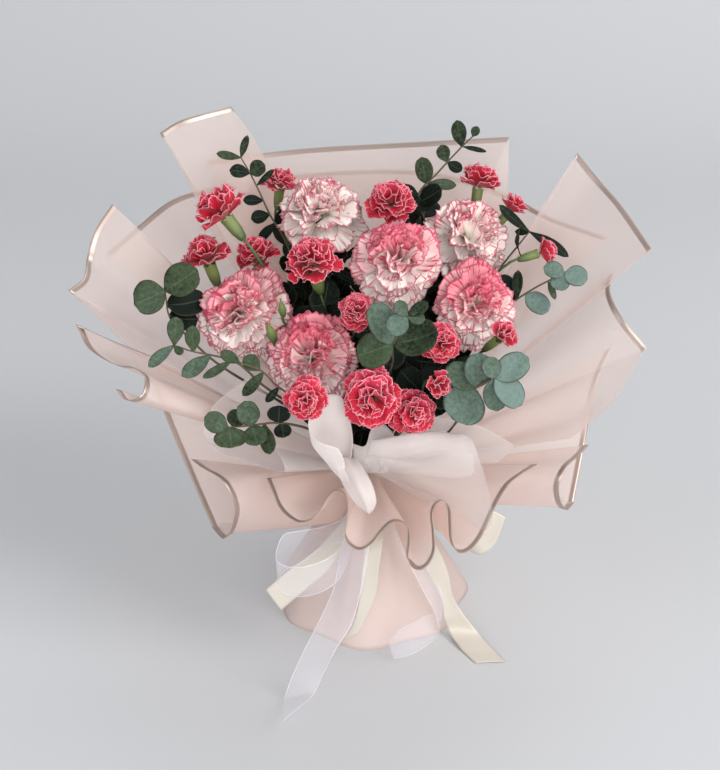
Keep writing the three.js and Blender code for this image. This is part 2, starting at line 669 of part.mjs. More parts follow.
/** A whole stem: stalk, branches, calyxes and leaves, cut flat at the table. */
function stemSolid(stem) {
  const path = [...rootPath(stem), ...stem.leads];
  const pieces = [tube(path, stem.diameter)];
  const forked = stem.heads.length > 1;
  for (const head of stem.heads) {
    pieces.push(calyx(head));
    if (!forked) continue;
    const fork = stem.leads[0];
    const along = fork.clone().sub(path[path.length - 2]).normalize();
    const start = fork.clone().addScaledVector(along, -FORK_OVERLAP);
    pieces.push(tube([start, ...approach(head)], BRANCH));
  }
  const curve = new THREE.CatmullRomCurve3(path, false, "centripetal");
  const first = path.length - stem.leads.length;
  for (const [share, tip, width] of stem.leaves ?? []) {
    const root = curve.getPoint((first + share) / (path.length - 1));
    pieces.push(leaf(root, vec(tip), width));
  }
  return joined(pieces.map((piece) => piece.trimByPlane([0, 0, 1], 0)));
}

// ---------------------------------------------------------------- wraps
/** Points of an edge made of smooth stretches that meet in corners. */
function edgePoints(stretches) {
  const points = [];
  for (const stretch of stretches) {
    const curve = new THREE.CatmullRomCurve3(stretch.map(vec), false, "centripetal");
    const steps = stretch.length > 4 ? stretch.length - 1 : (stretch.length - 1) * 2;
    const sampled = curve.getPoints(steps);
    points.push(...(points.length ? sampled.slice(1) : sampled));
  }
  return points;
}

/** Radius of a wrap layer in the tie. */
function layerRadius(layer) {
  return tieOuter + SEAT_GAP + FILM / 2 + LAYER_STEP * layer;
}

/** An edge with its rolls and folds opened, as the sheet lies nearer to the tie. */
function easedEdge(outer) {
  let row = outer;
  for (let pass = 0; pass < EASE_PASSES; pass += 1) {
    row = row.map((point, i) => {
      if (i === 0 || i === row.length - 1) return point;
      return row[i - 1].clone().add(row[i + 1]).addScaledVector(point, 2).divideScalar(4);
    });
  }
  return row;
}

/** A sheet gathered in the tie, from its neck to its outer edge. */
function wrap({ layer, arc, edge, rolled = false }) {
  const outer = edgePoints(edge);
  const radius = layerRadius(layer);
  const top = NECK_TOP - LAYER_DROP * layer;
  const neck = (z) => outer.map((_, i) => {
    const share = i / (outer.length - 1);
    return polar(radius, arc[0] + (arc[1] - arc[0]) * share, z);
  });
  const rows = [neck(NECK_BOTTOM + 2), neck(top)];
  if (rolled) rows.push(easedEdge(outer).map((point, i) => rows[1][i].clone().lerp(point, EASE_AT)));
  return sheetPlate([...rows, outer], FILM);
}

/** Radius of the foot skirt at a height, with folds that deepen towards the table. */
function skirtRadius(degrees, z) {
  const neck = layerRadius(SKIRT_LAYER);
  const drop = Math.max(0, (NECK_BOTTOM - z) / NECK_BOTTOM);
  const folds = SKIRT_FOLDS.reduce((sum, [depth, count, turn]) =>
    sum + depth * Math.sin(rad(count * degrees + turn)), 0);
  return neck + (SKIRT_FOOT_RADIUS - neck) * drop ** 0.85 + folds * drop;
}

/** The skirt of film round the stems below the tie. */
function footSkirt() {
  const heights = [SKIRT_TOP, NECK_BOTTOM, NECK_BOTTOM * 0.5, 0];
  const columns = RING_SIDES;
  const face = (side) => heights.map((z) => {
    const row = [];
    for (let j = 0; j < columns; j += 1) {
      const degrees = j * 360 / columns;
      row.push(polar(skirtRadius(degrees, z) + side * FILM / 2, degrees, z));
    }
    return row;
  });
  return plateOf(face(1), face(-1), true);
}

// ---------------------------------------------------------------- ribbons and tie
/** A ring of rectangular section round the bunch. */
function band(inner, outer, bottom, top) {
  const profile = [[inner, bottom], [outer, bottom], [outer, top], [inner, top], [inner, bottom]];
  const points = profile.map(([radius, z]) => new THREE.Vector2(radius, z));
  const geometry = new THREE.LatheGeometry(points, RING_SIDES);
  geometry.rotateX(Math.PI / 2);
  return solidOfGeometry(geometry);
}

/** A flat ribbon from a point of its band, along a path and, for a loop, back to the band. */
function strip({ from, to, path, across }, radius, height, width) {
  const start = polar(radius, from, height);
  const points = [start, ...path.map(vec)];
  if (to !== undefined) points.push(polar(radius, to, height));
  const curve = new THREE.CatmullRomCurve3(points, false, "centripetal");
  const steps = Math.round(points.length * 1.3);
  const grid = [[], []];
  for (let i = 0; i <= steps; i += 1) {
    const share = i / steps;
    const side = vec(across[0]).lerp(vec(across[1]), share);
    const middle = curve.getPoint(share);
    const atBand = i === 0 || (i === steps && to !== undefined);
    const along = atBand ? middle.clone().setZ(0).normalize() : curve.getTangent(share);
    side.addScaledVector(along, -side.dot(along)).normalize();
    const fromBand = to === undefined ? share : Math.min(share, 1 - share);
    const open = Math.min(1, fromBand / GATHER_REACH);
    const half = width / 2 * (GATHER + (1 - GATHER) * open);
    grid[0].push(middle.clone().addScaledVector(side, -half));
    grid[1].push(middle.clone().addScaledVector(side, half));
  }
  return sheetPlate(grid, FILM);
}

/** A ribbon: its band round the tie and the strips that leave it. */
function ribbon({ bottom, top, width, strips }) {
  const inner = layerRadius(SKIRT_LAYER) + FILM / 2 + RIBBON_GAP;
  const height = (bottom + top) / 2;
  const pieces = [band(inner, inner + RIBBON_BAND, bottom, top)];
  const start = inner + 0.7 * RIBBON_BAND;
  for (const each of strips) pieces.push(strip(each, start, height, width));
  return joined(pieces.map((piece) => piece.trimByPlane([0, 0, 1], 0)));
}

/** The cord that ties the stems. */
function bindingTie() {
  return band(packed + TIE_GAP, tieOuter, TIE_BOTTOM, TIE_TOP);
}

// ---------------------------------------------------------------- the bunch
const bunch = new THREE.Group();

/** Add a solid to the bunch as a named mesh. */
function addNode(name, solid, color, roughness) {
  const { vertProperties, triVerts, numProp } = solid.getMesh();
  const places = new Float32Array(vertProperties.length / numProp * 3);
  for (let i = 0; i < places.length / 3; i += 1) {
    for (let k = 0; k < 3; k += 1) places[3 * i + k] = vertProperties[numProp * i + k];
  }
  const geometry = new THREE.BufferGeometry();
  geometry.setAttribute("position", new THREE.BufferAttribute(places, 3));
  geometry.setIndex(new THREE.BufferAttribute(triVerts, 1));
  geometry.computeVertexNormals();
  const material = new THREE.MeshStandardMaterial({ color, roughness, metalness: 0 });
  const mesh = new THREE.Mesh(geometry, material);
  mesh.name = name;
  bunch.add(mesh);
}

for (const head of heads) {
  const color = head.form === "large" ? COLOUR.largePetals : COLOUR.sprayPetals;
  addNode(head.name, bloom(head), color, 0.75);
}
for (const stem of stems) {
  addNode(stem.name, stemSolid(stem), stem.leaves ? COLOUR.eucalyptus : COLOUR.stem, 0.6);
}
for (const [name, sheet] of Object.entries(WRAPS)) {
  addNode(name, wrap(sheet), sheet.tissue ? COLOUR.tissue : COLOUR.film, sheet.tissue ? 0.9 : 0.45);
}
addNode("film_foot_skirt", footSkirt(), COLOUR.film, 0.45);
addNode("binding_tie", bindingTie(), COLOUR.twine, 0.8);
addNode("satin_ribbon", ribbon(SATIN), COLOUR.satin, 0.5);
addNode("organza_ribbon", ribbon(ORGANZA), COLOUR.organza, 0.6);

export default bunch;
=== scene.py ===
import logging
import math
import random
from collections.abc import Iterable, Sequence
from dataclasses import dataclass, field
from enum import Enum

import bmesh
import bpy
import numpy as np
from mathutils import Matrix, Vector
from mathutils.bvhtree import BVHTree


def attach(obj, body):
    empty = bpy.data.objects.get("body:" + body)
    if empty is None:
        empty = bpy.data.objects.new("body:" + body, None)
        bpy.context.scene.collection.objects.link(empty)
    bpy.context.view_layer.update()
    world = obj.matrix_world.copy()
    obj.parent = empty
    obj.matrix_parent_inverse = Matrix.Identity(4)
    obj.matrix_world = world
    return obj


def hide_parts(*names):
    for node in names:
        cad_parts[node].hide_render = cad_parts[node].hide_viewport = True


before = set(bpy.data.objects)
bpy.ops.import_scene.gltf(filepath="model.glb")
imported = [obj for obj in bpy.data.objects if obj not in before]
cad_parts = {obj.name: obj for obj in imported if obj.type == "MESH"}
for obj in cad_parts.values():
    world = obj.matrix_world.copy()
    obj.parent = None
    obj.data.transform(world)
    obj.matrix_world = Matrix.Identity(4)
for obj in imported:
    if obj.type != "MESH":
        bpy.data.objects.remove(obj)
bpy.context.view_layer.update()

log = logging.getLogger("bouquet")
MM = 0.001
ACROSS = (0.3, 1.0, 0.2)  # a direction that no stem has, to measure turns about stems from
Point = tuple[float, float, float]
Colour = tuple[float, float, float]


# ---------------------------------------------------------------- named options
class Form(Enum):
    """How far a flower head has opened."""

    LARGE = "large"
    OPEN = "open"
    CUP = "cup"
    BUD = "bud"


class Held(Enum):
    """How a sheet or ribbon is held."""

    GATHERED = "gathered"
    FOLDED = "folded"
    HUNG = "hung"


# ---------------------------------------------------------------- shader maths
class Term:
    """A number on a shader's wire, with Python's own arithmetic."""

    def __init__(self, tree: bpy.types.NodeTree, socket: bpy.types.NodeSocket) -> None:
        """Wrap a socket of a node tree."""
        self.tree = tree
        self.socket = socket

    def _math(self, operation: str, first: "Term | float", second: "Term | float") -> "Term":
        """Add a Math node.

        Args:
            operation: the Math node's operation.
            first: its first value.
            second: its second value.

        Returns:
            The node's result.
        """
        node = self.tree.nodes.new("ShaderNodeMath")
        node.operation = operation
        for socket, value in zip(node.inputs, (first, second)):
            if isinstance(value, Term):
                self.tree.links.new(value.socket, socket)
            else:
                socket.default_value = value
        return Term(self.tree, node.outputs[0])

    def __add__(self, other: "Term | float") -> "Term":
        """Sum."""
        return self._math("ADD", self, other)

    __radd__ = __add__

    def __sub__(self, other: "Term | float") -> "Term":
        """Difference."""
        return self._math("SUBTRACT", self, other)

    def __rsub__(self, other: float) -> "Term":
        """Difference from a number."""
        return self._math("SUBTRACT", other, self)

    def __mul__(self, other: "Term | float") -> "Term":
        """Product."""
        return self._math("MULTIPLY", self, other)

    __rmul__ = __mul__

    def at_least(self, other: "Term | float") -> "Term":
        """The greater of two numbers."""
        return self._math("MAXIMUM", self, other)

    def away(self, middle: float) -> "Term":
        """Distance from a number."""
        shifted = self - middle
        return self._math("ABSOLUTE", shifted, 0.0)

    def wave(self, turns: float) -> "Term":
        """Sine of the number times so many turns."""
        scaled = self * (turns * math.tau)
        return self._math("SINE", scaled, 0.0)


class Painter:
    """Builds one procedural material."""

    def __init__(self, name: str) -> None:
        """Start an empty material.

        Args:
            name: the material's name.
        """
        self.material = bpy.data.materials.new(name)
        self.material.use_nodes = True
        self.tree = self.material.node_tree
        self.tree.nodes.clear()

    def node(self, kind: str, settings: dict | None = None, **inputs: object) -> bpy.types.Node:
        """Add a node.

        Args:
            kind: the node's type, without ShaderNode.
            settings: its own settings, set first.
            **inputs: values or links of its sockets, by name or as at_INDEX.

        Returns:
            The node.
        """
        node = self.tree.nodes.new("ShaderNode" + kind)
        for key, value in (settings or {}).items():
            if key == "stops":
                ramp = node.color_ramp
                while len(ramp.elements) < len(value):
                    ramp.elements.new(0.5)
                for element, (place, colour) in zip(ramp.elements, value):
                    element.position = place
                    element.color = (*colour, 1.0)
            else:
                setattr(node, key, value)
        for key, value in inputs.items():
            index = int(key[3:]) if key.startswith("at_") else key.replace("_", " ")
            self.feed(node.inputs[index], value)
        return node

    def feed(self, socket: bpy.types.NodeSocket, value: object) -> None:
        """Link or set one socket.

        Args:
            socket: the socket.
            value: a Term, a socket, a number or a colour.
        """
        if isinstance(value, Term):
            self.tree.links.new(value.socket, socket)
        elif isinstance(value, bpy.types.NodeSocket):
            self.tree.links.new(value, socket)
        elif isinstance(value, tuple) and socket.type == "RGBA" and len(value) == 3:
            socket.default_value = (*value, 1.0)
        else:
            socket.default_value = value

    def term(self, socket: bpy.types.NodeSocket) -> Term:
        """A socket as a number."""
        return Term(self.tree, socket)

    def uv(self) -> tuple[Term, Term]:
        """The piece's own UV map, as two numbers."""
        place = self.node("TexCoord").outputs["UV"]
        split = self.node("SeparateXYZ", None, Vector=place)
        return self.term(split.outputs[0]), self.term(split.outputs[1])

    def here(self) -> bpy.types.NodeSocket:
        """The place in the piece's own frame."""
        return self.node("TexCoord").outputs["Object"]

    def tone(self) -> tuple[Term, Term, Term]:
        """The mesh's tone, as three numbers."""
        colour = self.node("Attribute", {"attribute_name": "tone"}).outputs["Color"]
        split = self.node("SeparateColor", None, Color=colour)
        return tuple(self.term(socket) for socket in split.outputs)

    def joined(self, x: object, y: object, z: object = 0.0) -> bpy.types.NodeSocket:
        """A vector of three numbers."""
        return self.node("CombineXYZ", None, X=x, Y=y, Z=z).outputs[0]

    def noise(self, place: object, scale: float, detail: float = 2.0) -> Term:
        """Cloudy noise between 0 and 1.

        Args:
            place: where it is read.
            scale: its fineness.
            detail: how many finer layers it has.

        Returns:
            The noise.
        """
        node = self.node("TexNoise", None, Vector=place, Scale=scale, Detail=detail)
        return self.term(node.outputs["Fac"])

    def rise(self, value: Term, low: float, high: float) -> Term:
        """A smooth step from 0 at low to 1 at high."""
        settings = {"interpolation_type": "SMOOTHSTEP"}
        node = self.node("MapRange", settings, at_0=value, at_1=low, at_2=high)
        return self.term(node.outputs[0])

    def mix(self, share: object, first: object, second: object) -> bpy.types.NodeSocket:
        """A mix of two colours."""
        node = self.node("Mix", {"data_type": "RGBA"}, at_0=share, at_6=first, at_7=second)
        return node.outputs[2]

    def bump(self, height: Term, strength: float, distance: float) -> bpy.types.NodeSocket:
        """A surface relief.

        Args:
            height: the relief, between 0 and 1.
            strength: how much of it shows.
            distance: its depth in metres.

        Returns:
            The new normal.
        """
        node = self.node("Bump", None, Strength=strength, Distance=distance, Height=height)
        return node.outputs[0]

    def skin(self, **inputs: object) -> bpy.types.NodeSocket:
        """A Principled shader with these sockets."""
        return self.node("BsdfPrincipled", None, **inputs).outputs[0]

    def through(self, shader: object, colour: object, share: float) -> bpy.types.NodeSocket:
        """A shader mixed with light that comes through the sheet."""
        other = self.node("BsdfTranslucent", None, Color=colour).outputs[0]
        return self.node("MixShader", None, at_0=share, at_1=shader, at_2=other).outputs[0]

    def finish(self, shader: bpy.types.NodeSocket) -> bpy.types.Material:
        """Wire a shader to the output and hand over the material."""
        self.node("OutputMaterial", None, Surface=shader)
        return self.material


# ---------------------------------------------------------------- finishes
@dataclass(frozen=True)
class PetalFinish:
    """Petals with a fine coloured edge and short streaks that run in from it.

    The colours go from the heart to the edge. edge_start is where along the petal the rim
    begins, streak_low how much of the noise is no streak, streak_reach how far in the streaks
    run, and mark and rim how strongly streaks and rim are coloured.
    """

    name: str
    slot: str
    heart: Colour
    blade: Colour
    blush: Colour
    edge: Colour
    edge_start: float
    streak_low: float
    streak_reach: float
    mark: float
    rim: float

    def build(self) -> bpy.types.Material:
        """The finished material."""
        painter = Painter(self.name)
        across, along = painter.uv()
        tone, seed, _ = painter.tone()
        place = painter.joined(across * 26.0 + seed * 90.0, along * 1.4, seed * 17.0)
        grain = painter.noise(place, 1.0, 2.5)
        streak = painter.rise(grain, self.streak_low, self.streak_low + 0.07)
        streak = streak * painter.rise(along + tone * 0.3, self.streak_reach, 1.05)
        patch = painter.noise(painter.joined(across * 2.0, along * 2.0, seed * 40.0), 1.6)
        wash = painter.rise(along + patch * 0.5 + tone * 0.7, 0.8, 1.75) * (0.25 + tone * 0.75)
        rim = painter.rise(along + grain * 0.04, self.edge_start, self.edge_start + 0.02)
        rim = rim * (0.35 + patch * 0.9)
        base = painter.mix(painter.rise(along, 0.12, 0.5), self.heart, self.blade)
        base = painter.mix(wash, base, self.blush)
        mark = (streak * self.mark).at_least(rim * self.rim)
        colour = painter.mix(mark, base, self.edge)
        vein = painter.noise(painter.joined(across * 40.0 + seed * 30.0, along * 2.0), 1.0, 1.0)
        normal = painter.bump(vein, 0.35, 0.0004)
        shader = painter.skin(
            Base_Color=colour, Roughness=0.62, Normal=normal, Sheen_Weight=0.15,
            Specular_IOR_Level=0.3,
        )
        return painter.finish(painter.through(shader, self.blush, 0.16))


@dataclass(frozen=True)
class LeafFinish:
    """Eucalyptus leaves: a bloom of wax over green, pale veins and a thin reddish edge; little wax paints
    a leaf near-black as shade.
    """

    name: str = "eucalyptus_leaf"
    slot: str = "eucalyptus_green"
    # dark is near-black: partly the leaves' darkest green, partly painted shade for leaves deep in the
    # bunch
    dark: Colour = (0.0045, 0.009, 0.006)
    green: Colour = (0.043, 0.064, 0.031)
    pale: Colour = (0.14, 0.205, 0.185)
    edge: Colour = (0.05, 0.04, 0.03)
    vein: Colour = (0.17, 0.22, 0.15)
    bark: Colour = (0.1, 0.085, 0.055)

    def build(self) -> bpy.types.Material:
        """The finished material."""
        painter = Painter(self.name)
        across, along = painter.uv()
        tone, _, woody = painter.tone()
        off = across.away(0.5)
        place = painter.here()
        cloud = painter.noise(place, 70.0, 3.0)
        patch = painter.noise(place, 420.0, 4.0)
        # painted shade: a low wax mixes the leaf towards the near-black dark; the noise gives the real
        # mottling
        wax_and_shade = cloud * 0.5 + patch * 0.7 + tone * 1.1 - 0.62
        colour = painter.mix(painter.rise(wax_and_shade, 0.0, 0.45), self.dark, self.green)
        colour = painter.mix(painter.rise(wax_and_shade, 0.35, 1.15), colour, self.pale)
        rib = 1.0 - painter.rise(off, 0.008, 0.03)
        side_vein = painter.rise((along * 1.0 - off * 0.8).wave(9.0), 0.93, 1.0) * 0.3
        colour = painter.mix((rib * 0.22).at_least(side_vein * 0.2), colour, self.vein)
        rim = painter.rise(off, 0.44, 0.485)
        colour = painter.mix(rim * 0.7, colour, self.edge)
        colour = painter.mix(woody, colour, self.bark)
        relief = (side_vein + rib) * 0.5 + patch * 0.5
        normal = painter.bump(relief, 0.25, 0.0005)
        shader = painter.skin(
            Base_Color=colour, Roughness=0.55 + cloud * 0.2, Normal=normal,
            Specular_IOR_Level=0.12,
        )
        return painter.finish(shader)


@dataclass(frozen=True)
class StemFinish:
    """Carnation stems and calyxes: pale grey-green with fine lengthwise lines, with painted shade that
    darkens each calyx and branch towards its lower end.
    """

    name: str = "carnation_stem"
    slot: str = "carnation_green"
    stalk: Colour = (0.04, 0.075, 0.028)
    calyx: Colour = (0.17, 0.215, 0.055)

    def build(self) -> bpy.types.Material:
        """The finished material."""
        painter = Painter(self.name)
        across, along = painter.uv()
        cup = painter.tone()[0]
        place = painter.here()
        cloud = painter.noise(place, 120.0, 3.0)
        line = painter.noise(painter.joined(across * 30.0, along * 2.0), 1.0)
        # painted shade: the calyx green gives way to the dark stalk green towards the lower end
        lit = cup * (painter.rise(along, 0.05, 0.75) * 0.8 + 0.2)
        colour = painter.mix(lit, self.stalk, self.calyx)
        colour = painter.mix(cloud * 0.5, colour, (0.035, 0.07, 0.028))
        normal = painter.bump(line, 0.3, 0.0004)
        shader = painter.skin(Base_Color=colour, Roughness=0.5, Normal=normal)
        return painter.finish(shader)


@dataclass(frozen=True)
class FilmFinish:
    """Matte see-through film with a metallic line, foil_width millimetres wide, at its edge.

    cover is its opacity, dense_cover what a dense sheet adds to it, and light the share of
    light that comes through. front is the film's colour in the light and shade its colour in
    shade: the film is painted towards shade in random clouds, near the tie and where dense.
    """

    name: str = "wrap_film"
    slot: str = "wrap_film"
    front: Colour = (0.8, 0.735, 0.725)
    shade: Colour = (0.93, 0.745, 0.665)
    foil: Colour = (0.42, 0.33, 0.29)
    foil_width: float = 4.3
    cover: float = 0.22
    dense_cover: float = 0.3
    light: float = 0.25

    def build(self) -> bpy.types.Material:
        """The finished material."""
        painter = Painter(self.name)
        place = painter.here()
        cloud = painter.noise(place, 9.0, 2.0)
        grain = painter.noise(place, 900.0, 1.0)
        edge, _, dense = painter.tone()
        from_tie = painter.node(
            "VectorMath", {"operation": "DISTANCE"}, at_0=place, at_1=(0.0, -0.03, 0.14))
        near = 1.0 - painter.rise(painter.term(from_tie.outputs["Value"]), 0.03, 0.17)
        # painted shade: clouds, closeness to the tie and density mix the lit front colour towards the
        # shade colour
        shade_share = cloud * 0.25 + near * 0.35 + dense * 0.15
        colour = painter.mix(shade_share, self.front, self.shade)
        normal = painter.bump(grain * 0.3 + cloud, 0.12, 0.0006)
        sheet = painter.skin(
            Base_Color=colour, Roughness=0.42 + grain * 0.12, Normal=normal,
            Alpha=dense * self.dense_cover + self.cover, Specular_IOR_Level=0.4,
        )
        sheet = painter.through(sheet, self.shade, self.light)
        line = painter.skin(Base_Color=self.foil, Roughness=0.34, Metallic=0.6, Normal=normal)
        on_line = 1.0 - painter.rise(edge * 20.0, self.foil_width - 0.25, self.foil_width + 0.25)
        both = painter.node("MixShader", None, at_0=on_line, at_1=sheet, at_2=line)
        return painter.finish(both.outputs[0])


@dataclass(frozen=True)
class ClothFinish:
    """Thin woven or pressed white goods: tissue, organza and satin.

    cover is the opacity, to which dense folds add dense_cover and the woven edges selvedge.
    light is the share of light that comes through, threads the turns of the weave across the
    piece, and relief the strength of its bump.
    """

    name: str
    slot: str
    colour: Colour
    shade: Colour
    roughness: float
    cover: float
    light: float
    threads: float
    relief: float
    selvedge: float = 0.0
    sheen: float = 0.0
    dense_cover: float = 0.0

    def build(self) -> bpy.types.Material:
        """The finished material."""
        painter = Painter(self.name)
        across, along = painter.uv()
        place = painter.here()
        cloud = painter.noise(place, 30.0, 3.0)
        warp = across.wave(self.threads) * 0.5 + 0.5
        weft = along.wave(self.threads) * 0.5 + 0.5
        weave = warp * weft
        colour = painter.mix(cloud * 0.4 + weave * 0.15, self.colour, self.shade)
        normal = painter.bump(weave * 0.4 + cloud * 0.6, self.relief, 0.0005)
        hem = painter.rise(across.away(0.5), 0.47, 0.48) * self.selvedge
        dense = painter.tone()[2]
        cover = hem + dense * self.dense_cover + self.cover if self.cover < 1 else 1.0
        shader = painter.skin(
            Base_Color=colour, Roughness=self.roughness + weave * 0.1, Normal=normal,
            Alpha=cover, Sheen_Weight=self.sheen,
        )
        return painter.finish(painter.through(shader, self.colour, self.light))


@dataclass(frozen=True)
class TwineFinish:
    """Twisted jute cord."""

    name: str = "twine"
    slot: str = "twine"
    dark: Colour = (0.28, 0.19, 0.11)
    pale: Colour = (0.55, 0.42, 0.27)

    def build(self) -> bpy.types.Material:
        """The finished material."""
        painter = Painter(self.name)
        across, along = painter.uv()
        ply = (across * 90.0 + along * 2.0).wave(1.0) * 0.5 + 0.5
        fibre = painter.noise(painter.here(), 1500.0)
        colour = painter.mix(ply * 0.6 + fibre * 0.4, self.dark, self.pale)
        normal = painter.bump(ply, 0.8, 0.0004)
        return painter.finish(painter.skin(Base_Color=colour, Roughness=0.85, Normal=normal))


@dataclass(frozen=True)
class FloorFinish:
    """A plain pale studio floor."""

    name: str = "studio_floor"
    colour: Colour = (0.535, 0.545, 0.558)

    def build(self) -> bpy.types.Material:
        """The finished material."""
        painter = Painter(self.name)
        cloud = painter.noise(painter.here(), 2.0)
        colour = painter.mix(cloud * 0.1, self.colour, (0.5, 0.505, 0.52))
        return painter.finish(painter.skin(Base_Color=colour, Roughness=0.75))


LEAF, STEM, FILM, TWINE = LeafFinish(), StemFinish(), FilmFinish(), TwineFinish()
LARGE_PETALS = PetalFinish(
    "petal_cream", "large_petals", heart=(0.88, 0.85, 0.66), blade=(0.97, 0.93, 0.87),
    blush=(0.84, 0.24, 0.3), edge=(0.5, 0.018, 0.08), edge_start=0.966, streak_low=0.535,
    streak_reach=0.48, mark=0.88, rim=0.88,
)
SPRAY_PETALS = PetalFinish(
    "petal_crimson", "spray_petals", heart=(0.4, 0.1, 0.08), blade=(0.56, 0.009, 0.036),
    blush=(0.68, 0.05, 0.115), edge=(0.93, 0.5, 0.56), edge_start=0.974, streak_low=0.57,
    streak_reach=0.62, mark=0.6, rim=0.7,
)
TISSUE = ClothFinish(
    "white_tissue", "white_tissue", (0.9, 0.85, 0.835), (0.86, 0.77, 0.735), roughness=0.7,
    cover=0.03, light=0.12, threads=0.0, relief=0.25, dense_cover=0.4,
)
SATIN = ClothFinish(
    "cream_satin", "cream_satin", (0.64, 0.595, 0.52), (0.58, 0.53, 0.45), roughness=0.38,
    cover=1.0, light=0.12, threads=60.0, relief=0.1, sheen=0.2,
)
ORGANZA = ClothFinish(
    "white_organza", "white_organza", (0.88, 0.86, 0.92), (0.82, 0.79, 0.88), roughness=0.5,
    cover=0.1, light=0.07, threads=90.0, relief=0.1, selvedge=0.4, sheen=0.2,
)


# ---------------------------------------------------------------- what stands where
@dataclass(frozen=True)
class Head:
    """A flower head: its centre, its radius, the way it faces, how open and how pink it is."""

    at: Point
    radius: float
    faces: Point
    form: Form = Form.LARGE
    via: Point | None = None
    blush: float = 0.0

    @property
    def centre(self) -> np.ndarray:
        """Centre of the head."""
        return np.array(self.at, float)

    @property
    def axis(self) -> np.ndarray:
        """The way it faces, one unit long."""
        return unit(np.array(self.faces, float))

    @property
    def calyx_radius(self) -> float:
        """Radius of the calyx's mouth."""
        return 0.2 * self.radius + 1.4

    @property
    def floor(self) -> float:
        """Where the calyx ends, along the axis from the centre."""
        return (-0.5 if self.form is Form.BUD else -0.32) * self.radius

    @property
    def calyx_length(self) -> float:
        """Length of the calyx."""
        return 10 + 0.45 * self.radius

    @property
    def calyx_end(self) -> np.ndarray:
        """Foot of the calyx."""
        return self.centre + self.axis * (self.floor - 0.3 - self.calyx_length)

    def approach(self) -> list[np.ndarray]:
        """Points of the stalk's last stretch, along the head's axis."""
        back = 20 if self.form is Form.LARGE else 0.5 * self.radius
        points = [np.array(self.via, float)] if self.via else []
        points.append(self.calyx_end - self.axis * back)
        points.append(self.calyx_end + self.axis * self.calyx_length * 0.4)
        return points


@dataclass(frozen=True)
class Spray:
    """A stem that forks below its heads, some of which may still be closed."""

    fork: Point
    heads: tuple[Head, ...]
    closed: tuple[Head, ...] = ()


@dataclass(frozen=True)
class LeafySpray:
    """A eucalyptus stem above the tie, its leaves as place, tip and width, and their wax.

    A fourth number is the wax of a leaf that differs from the rest; a low one paints a shaded leaf dark
    as painted shade.
    """

    stem: tuple[Point, ...]
    leaves: tuple[tuple[float | Point, ...], ...]
    wax_and_shade: tuple[float, float] = (0.1, 0.4)


@dataclass(frozen=True)
class WrapSheet:
    """A sheet of the wrap: its layer and arc in the tie, and its outer edge in stretches.

    foil tells which stretches of the edge carry the metallic line. flat is the sheet's own
    size before it was gathered. belly is how far the sheet bulges at the tie's end of its
    radial lines, round the share of its edge that belly_at gives, and dense is how much
    thicker its film looks: more opaque, and on film also painted towards its shade colour as
    painted shade.
    """

    layer: int
    arc: tuple[float, float]
    edge: tuple[tuple[Point, ...], ...]
    foil: tuple[bool, ...]
    flat: tuple[float, float]
    dense: float = 0.0
    belly: Point = (0, 0, 0)
    belly_at: float = 0.5


@dataclass(frozen=True)
class Strip:
    """A stretch of ribbon between two edges that leave its band side by side.

    starts and ends give each edge's place on the band in degrees and height; a loose tail has
    no ends.
    """

    starts: tuple[tuple[float, float], tuple[float, float]]
    left: tuple[Point, ...]
    right: tuple[Point, ...]
    ends: tuple[tuple[float, float], tuple[float, float]] | None = None


LARGE_HEADS = (
    Head((-41, 45, 325), 33, (-0.05, -0.27, 0.96), blush=-0.45),
    Head((-99, -20, 267), 35, (-0.35, -0.77, 0.53), blush=0.15),
    Head((-45, -65, 249), 33, (-0.1, -0.83, 0.55), blush=0.4),
    Head((18, -30, 311), 34, (-0.05, -0.7, 0.71), blush=0.35),
    Head((74, 25, 311), 33, (0.3, -0.52, 0.8), blush=-0.25),
    Head((75, -55, 288), 31, (0.25, -0.85, 0.45), blush=0.35),
)
SPRAYS = (
    Spray((-46, 26, 214), (
        Head((-116, 15, 336), 22, (-0.62, 0.24, 0.74), Form.CUP),
        Head((-129, 15, 299), 20, (-0.31, 0.04, 0.95), Form.CUP, (-84, 40, 246)),
        Head((-91, 32, 293), 19, (-0.21, -0.12, 0.97), Form.CUP),
    )),
    Spray((-22, -34, 232), (
        Head((-45, -35, 312), 22, (-0.2, -0.23, 0.95), Form.OPEN),
        Head((-12, -70, 287), 14, (0, -0.8, 0.6), Form.OPEN),
    ), (
        Head((-80, -65, 283), 17, (-0.25, -0.3, 0.92), Form.BUD),
        Head((-69, -54, 296), 12, (-0.1, -0.25, 0.96), Form.BUD),
    )),
    Spray((-8, 30, 222), (
        Head((-74, 80, 338), 15, (0.15, 0, 0.99), Form.CUP),
        Head((15, 35, 336), 20, (0, -0.47, 0.88), Form.OPEN),
    )),
    Spray((46, 26, 222), (
        Head((86, 72, 342), 17, (0.15, 0.32, 0.93), Form.CUP, (64, 66, 272)),
        Head((113, 60, 326), 13, (0.62, 0.23, 0.75), Form.BUD, (84, 50, 280)),
        Head((132, 0, 309), 12, (0.95, 0.08, 0.29), Form.BUD),
    )),
    Spray((36, -58, 204), (
        Head((28, -110, 226), 17, (0.2, -0.93, 0.32), Form.OPEN),
        Head((48, -95, 274), 15, (0.2, -0.84, 0.5), Form.OPEN),
        Head((46, -120, 252), 11, (0.3, -0.9, 0.3), Form.BUD),
        Head((93, -95, 280), 12, (0.61, -0.34, 0.72), Form.BUD),
    )),
    Spray((-8, -62, 192), (
        Head((-1, -125, 245), 22, (-0.05, -0.91, 0.42), Form.OPEN),
        Head((-48, -125, 243), 16, (-0.2, -0.93, 0.32), Form.OPEN),
    )),
)
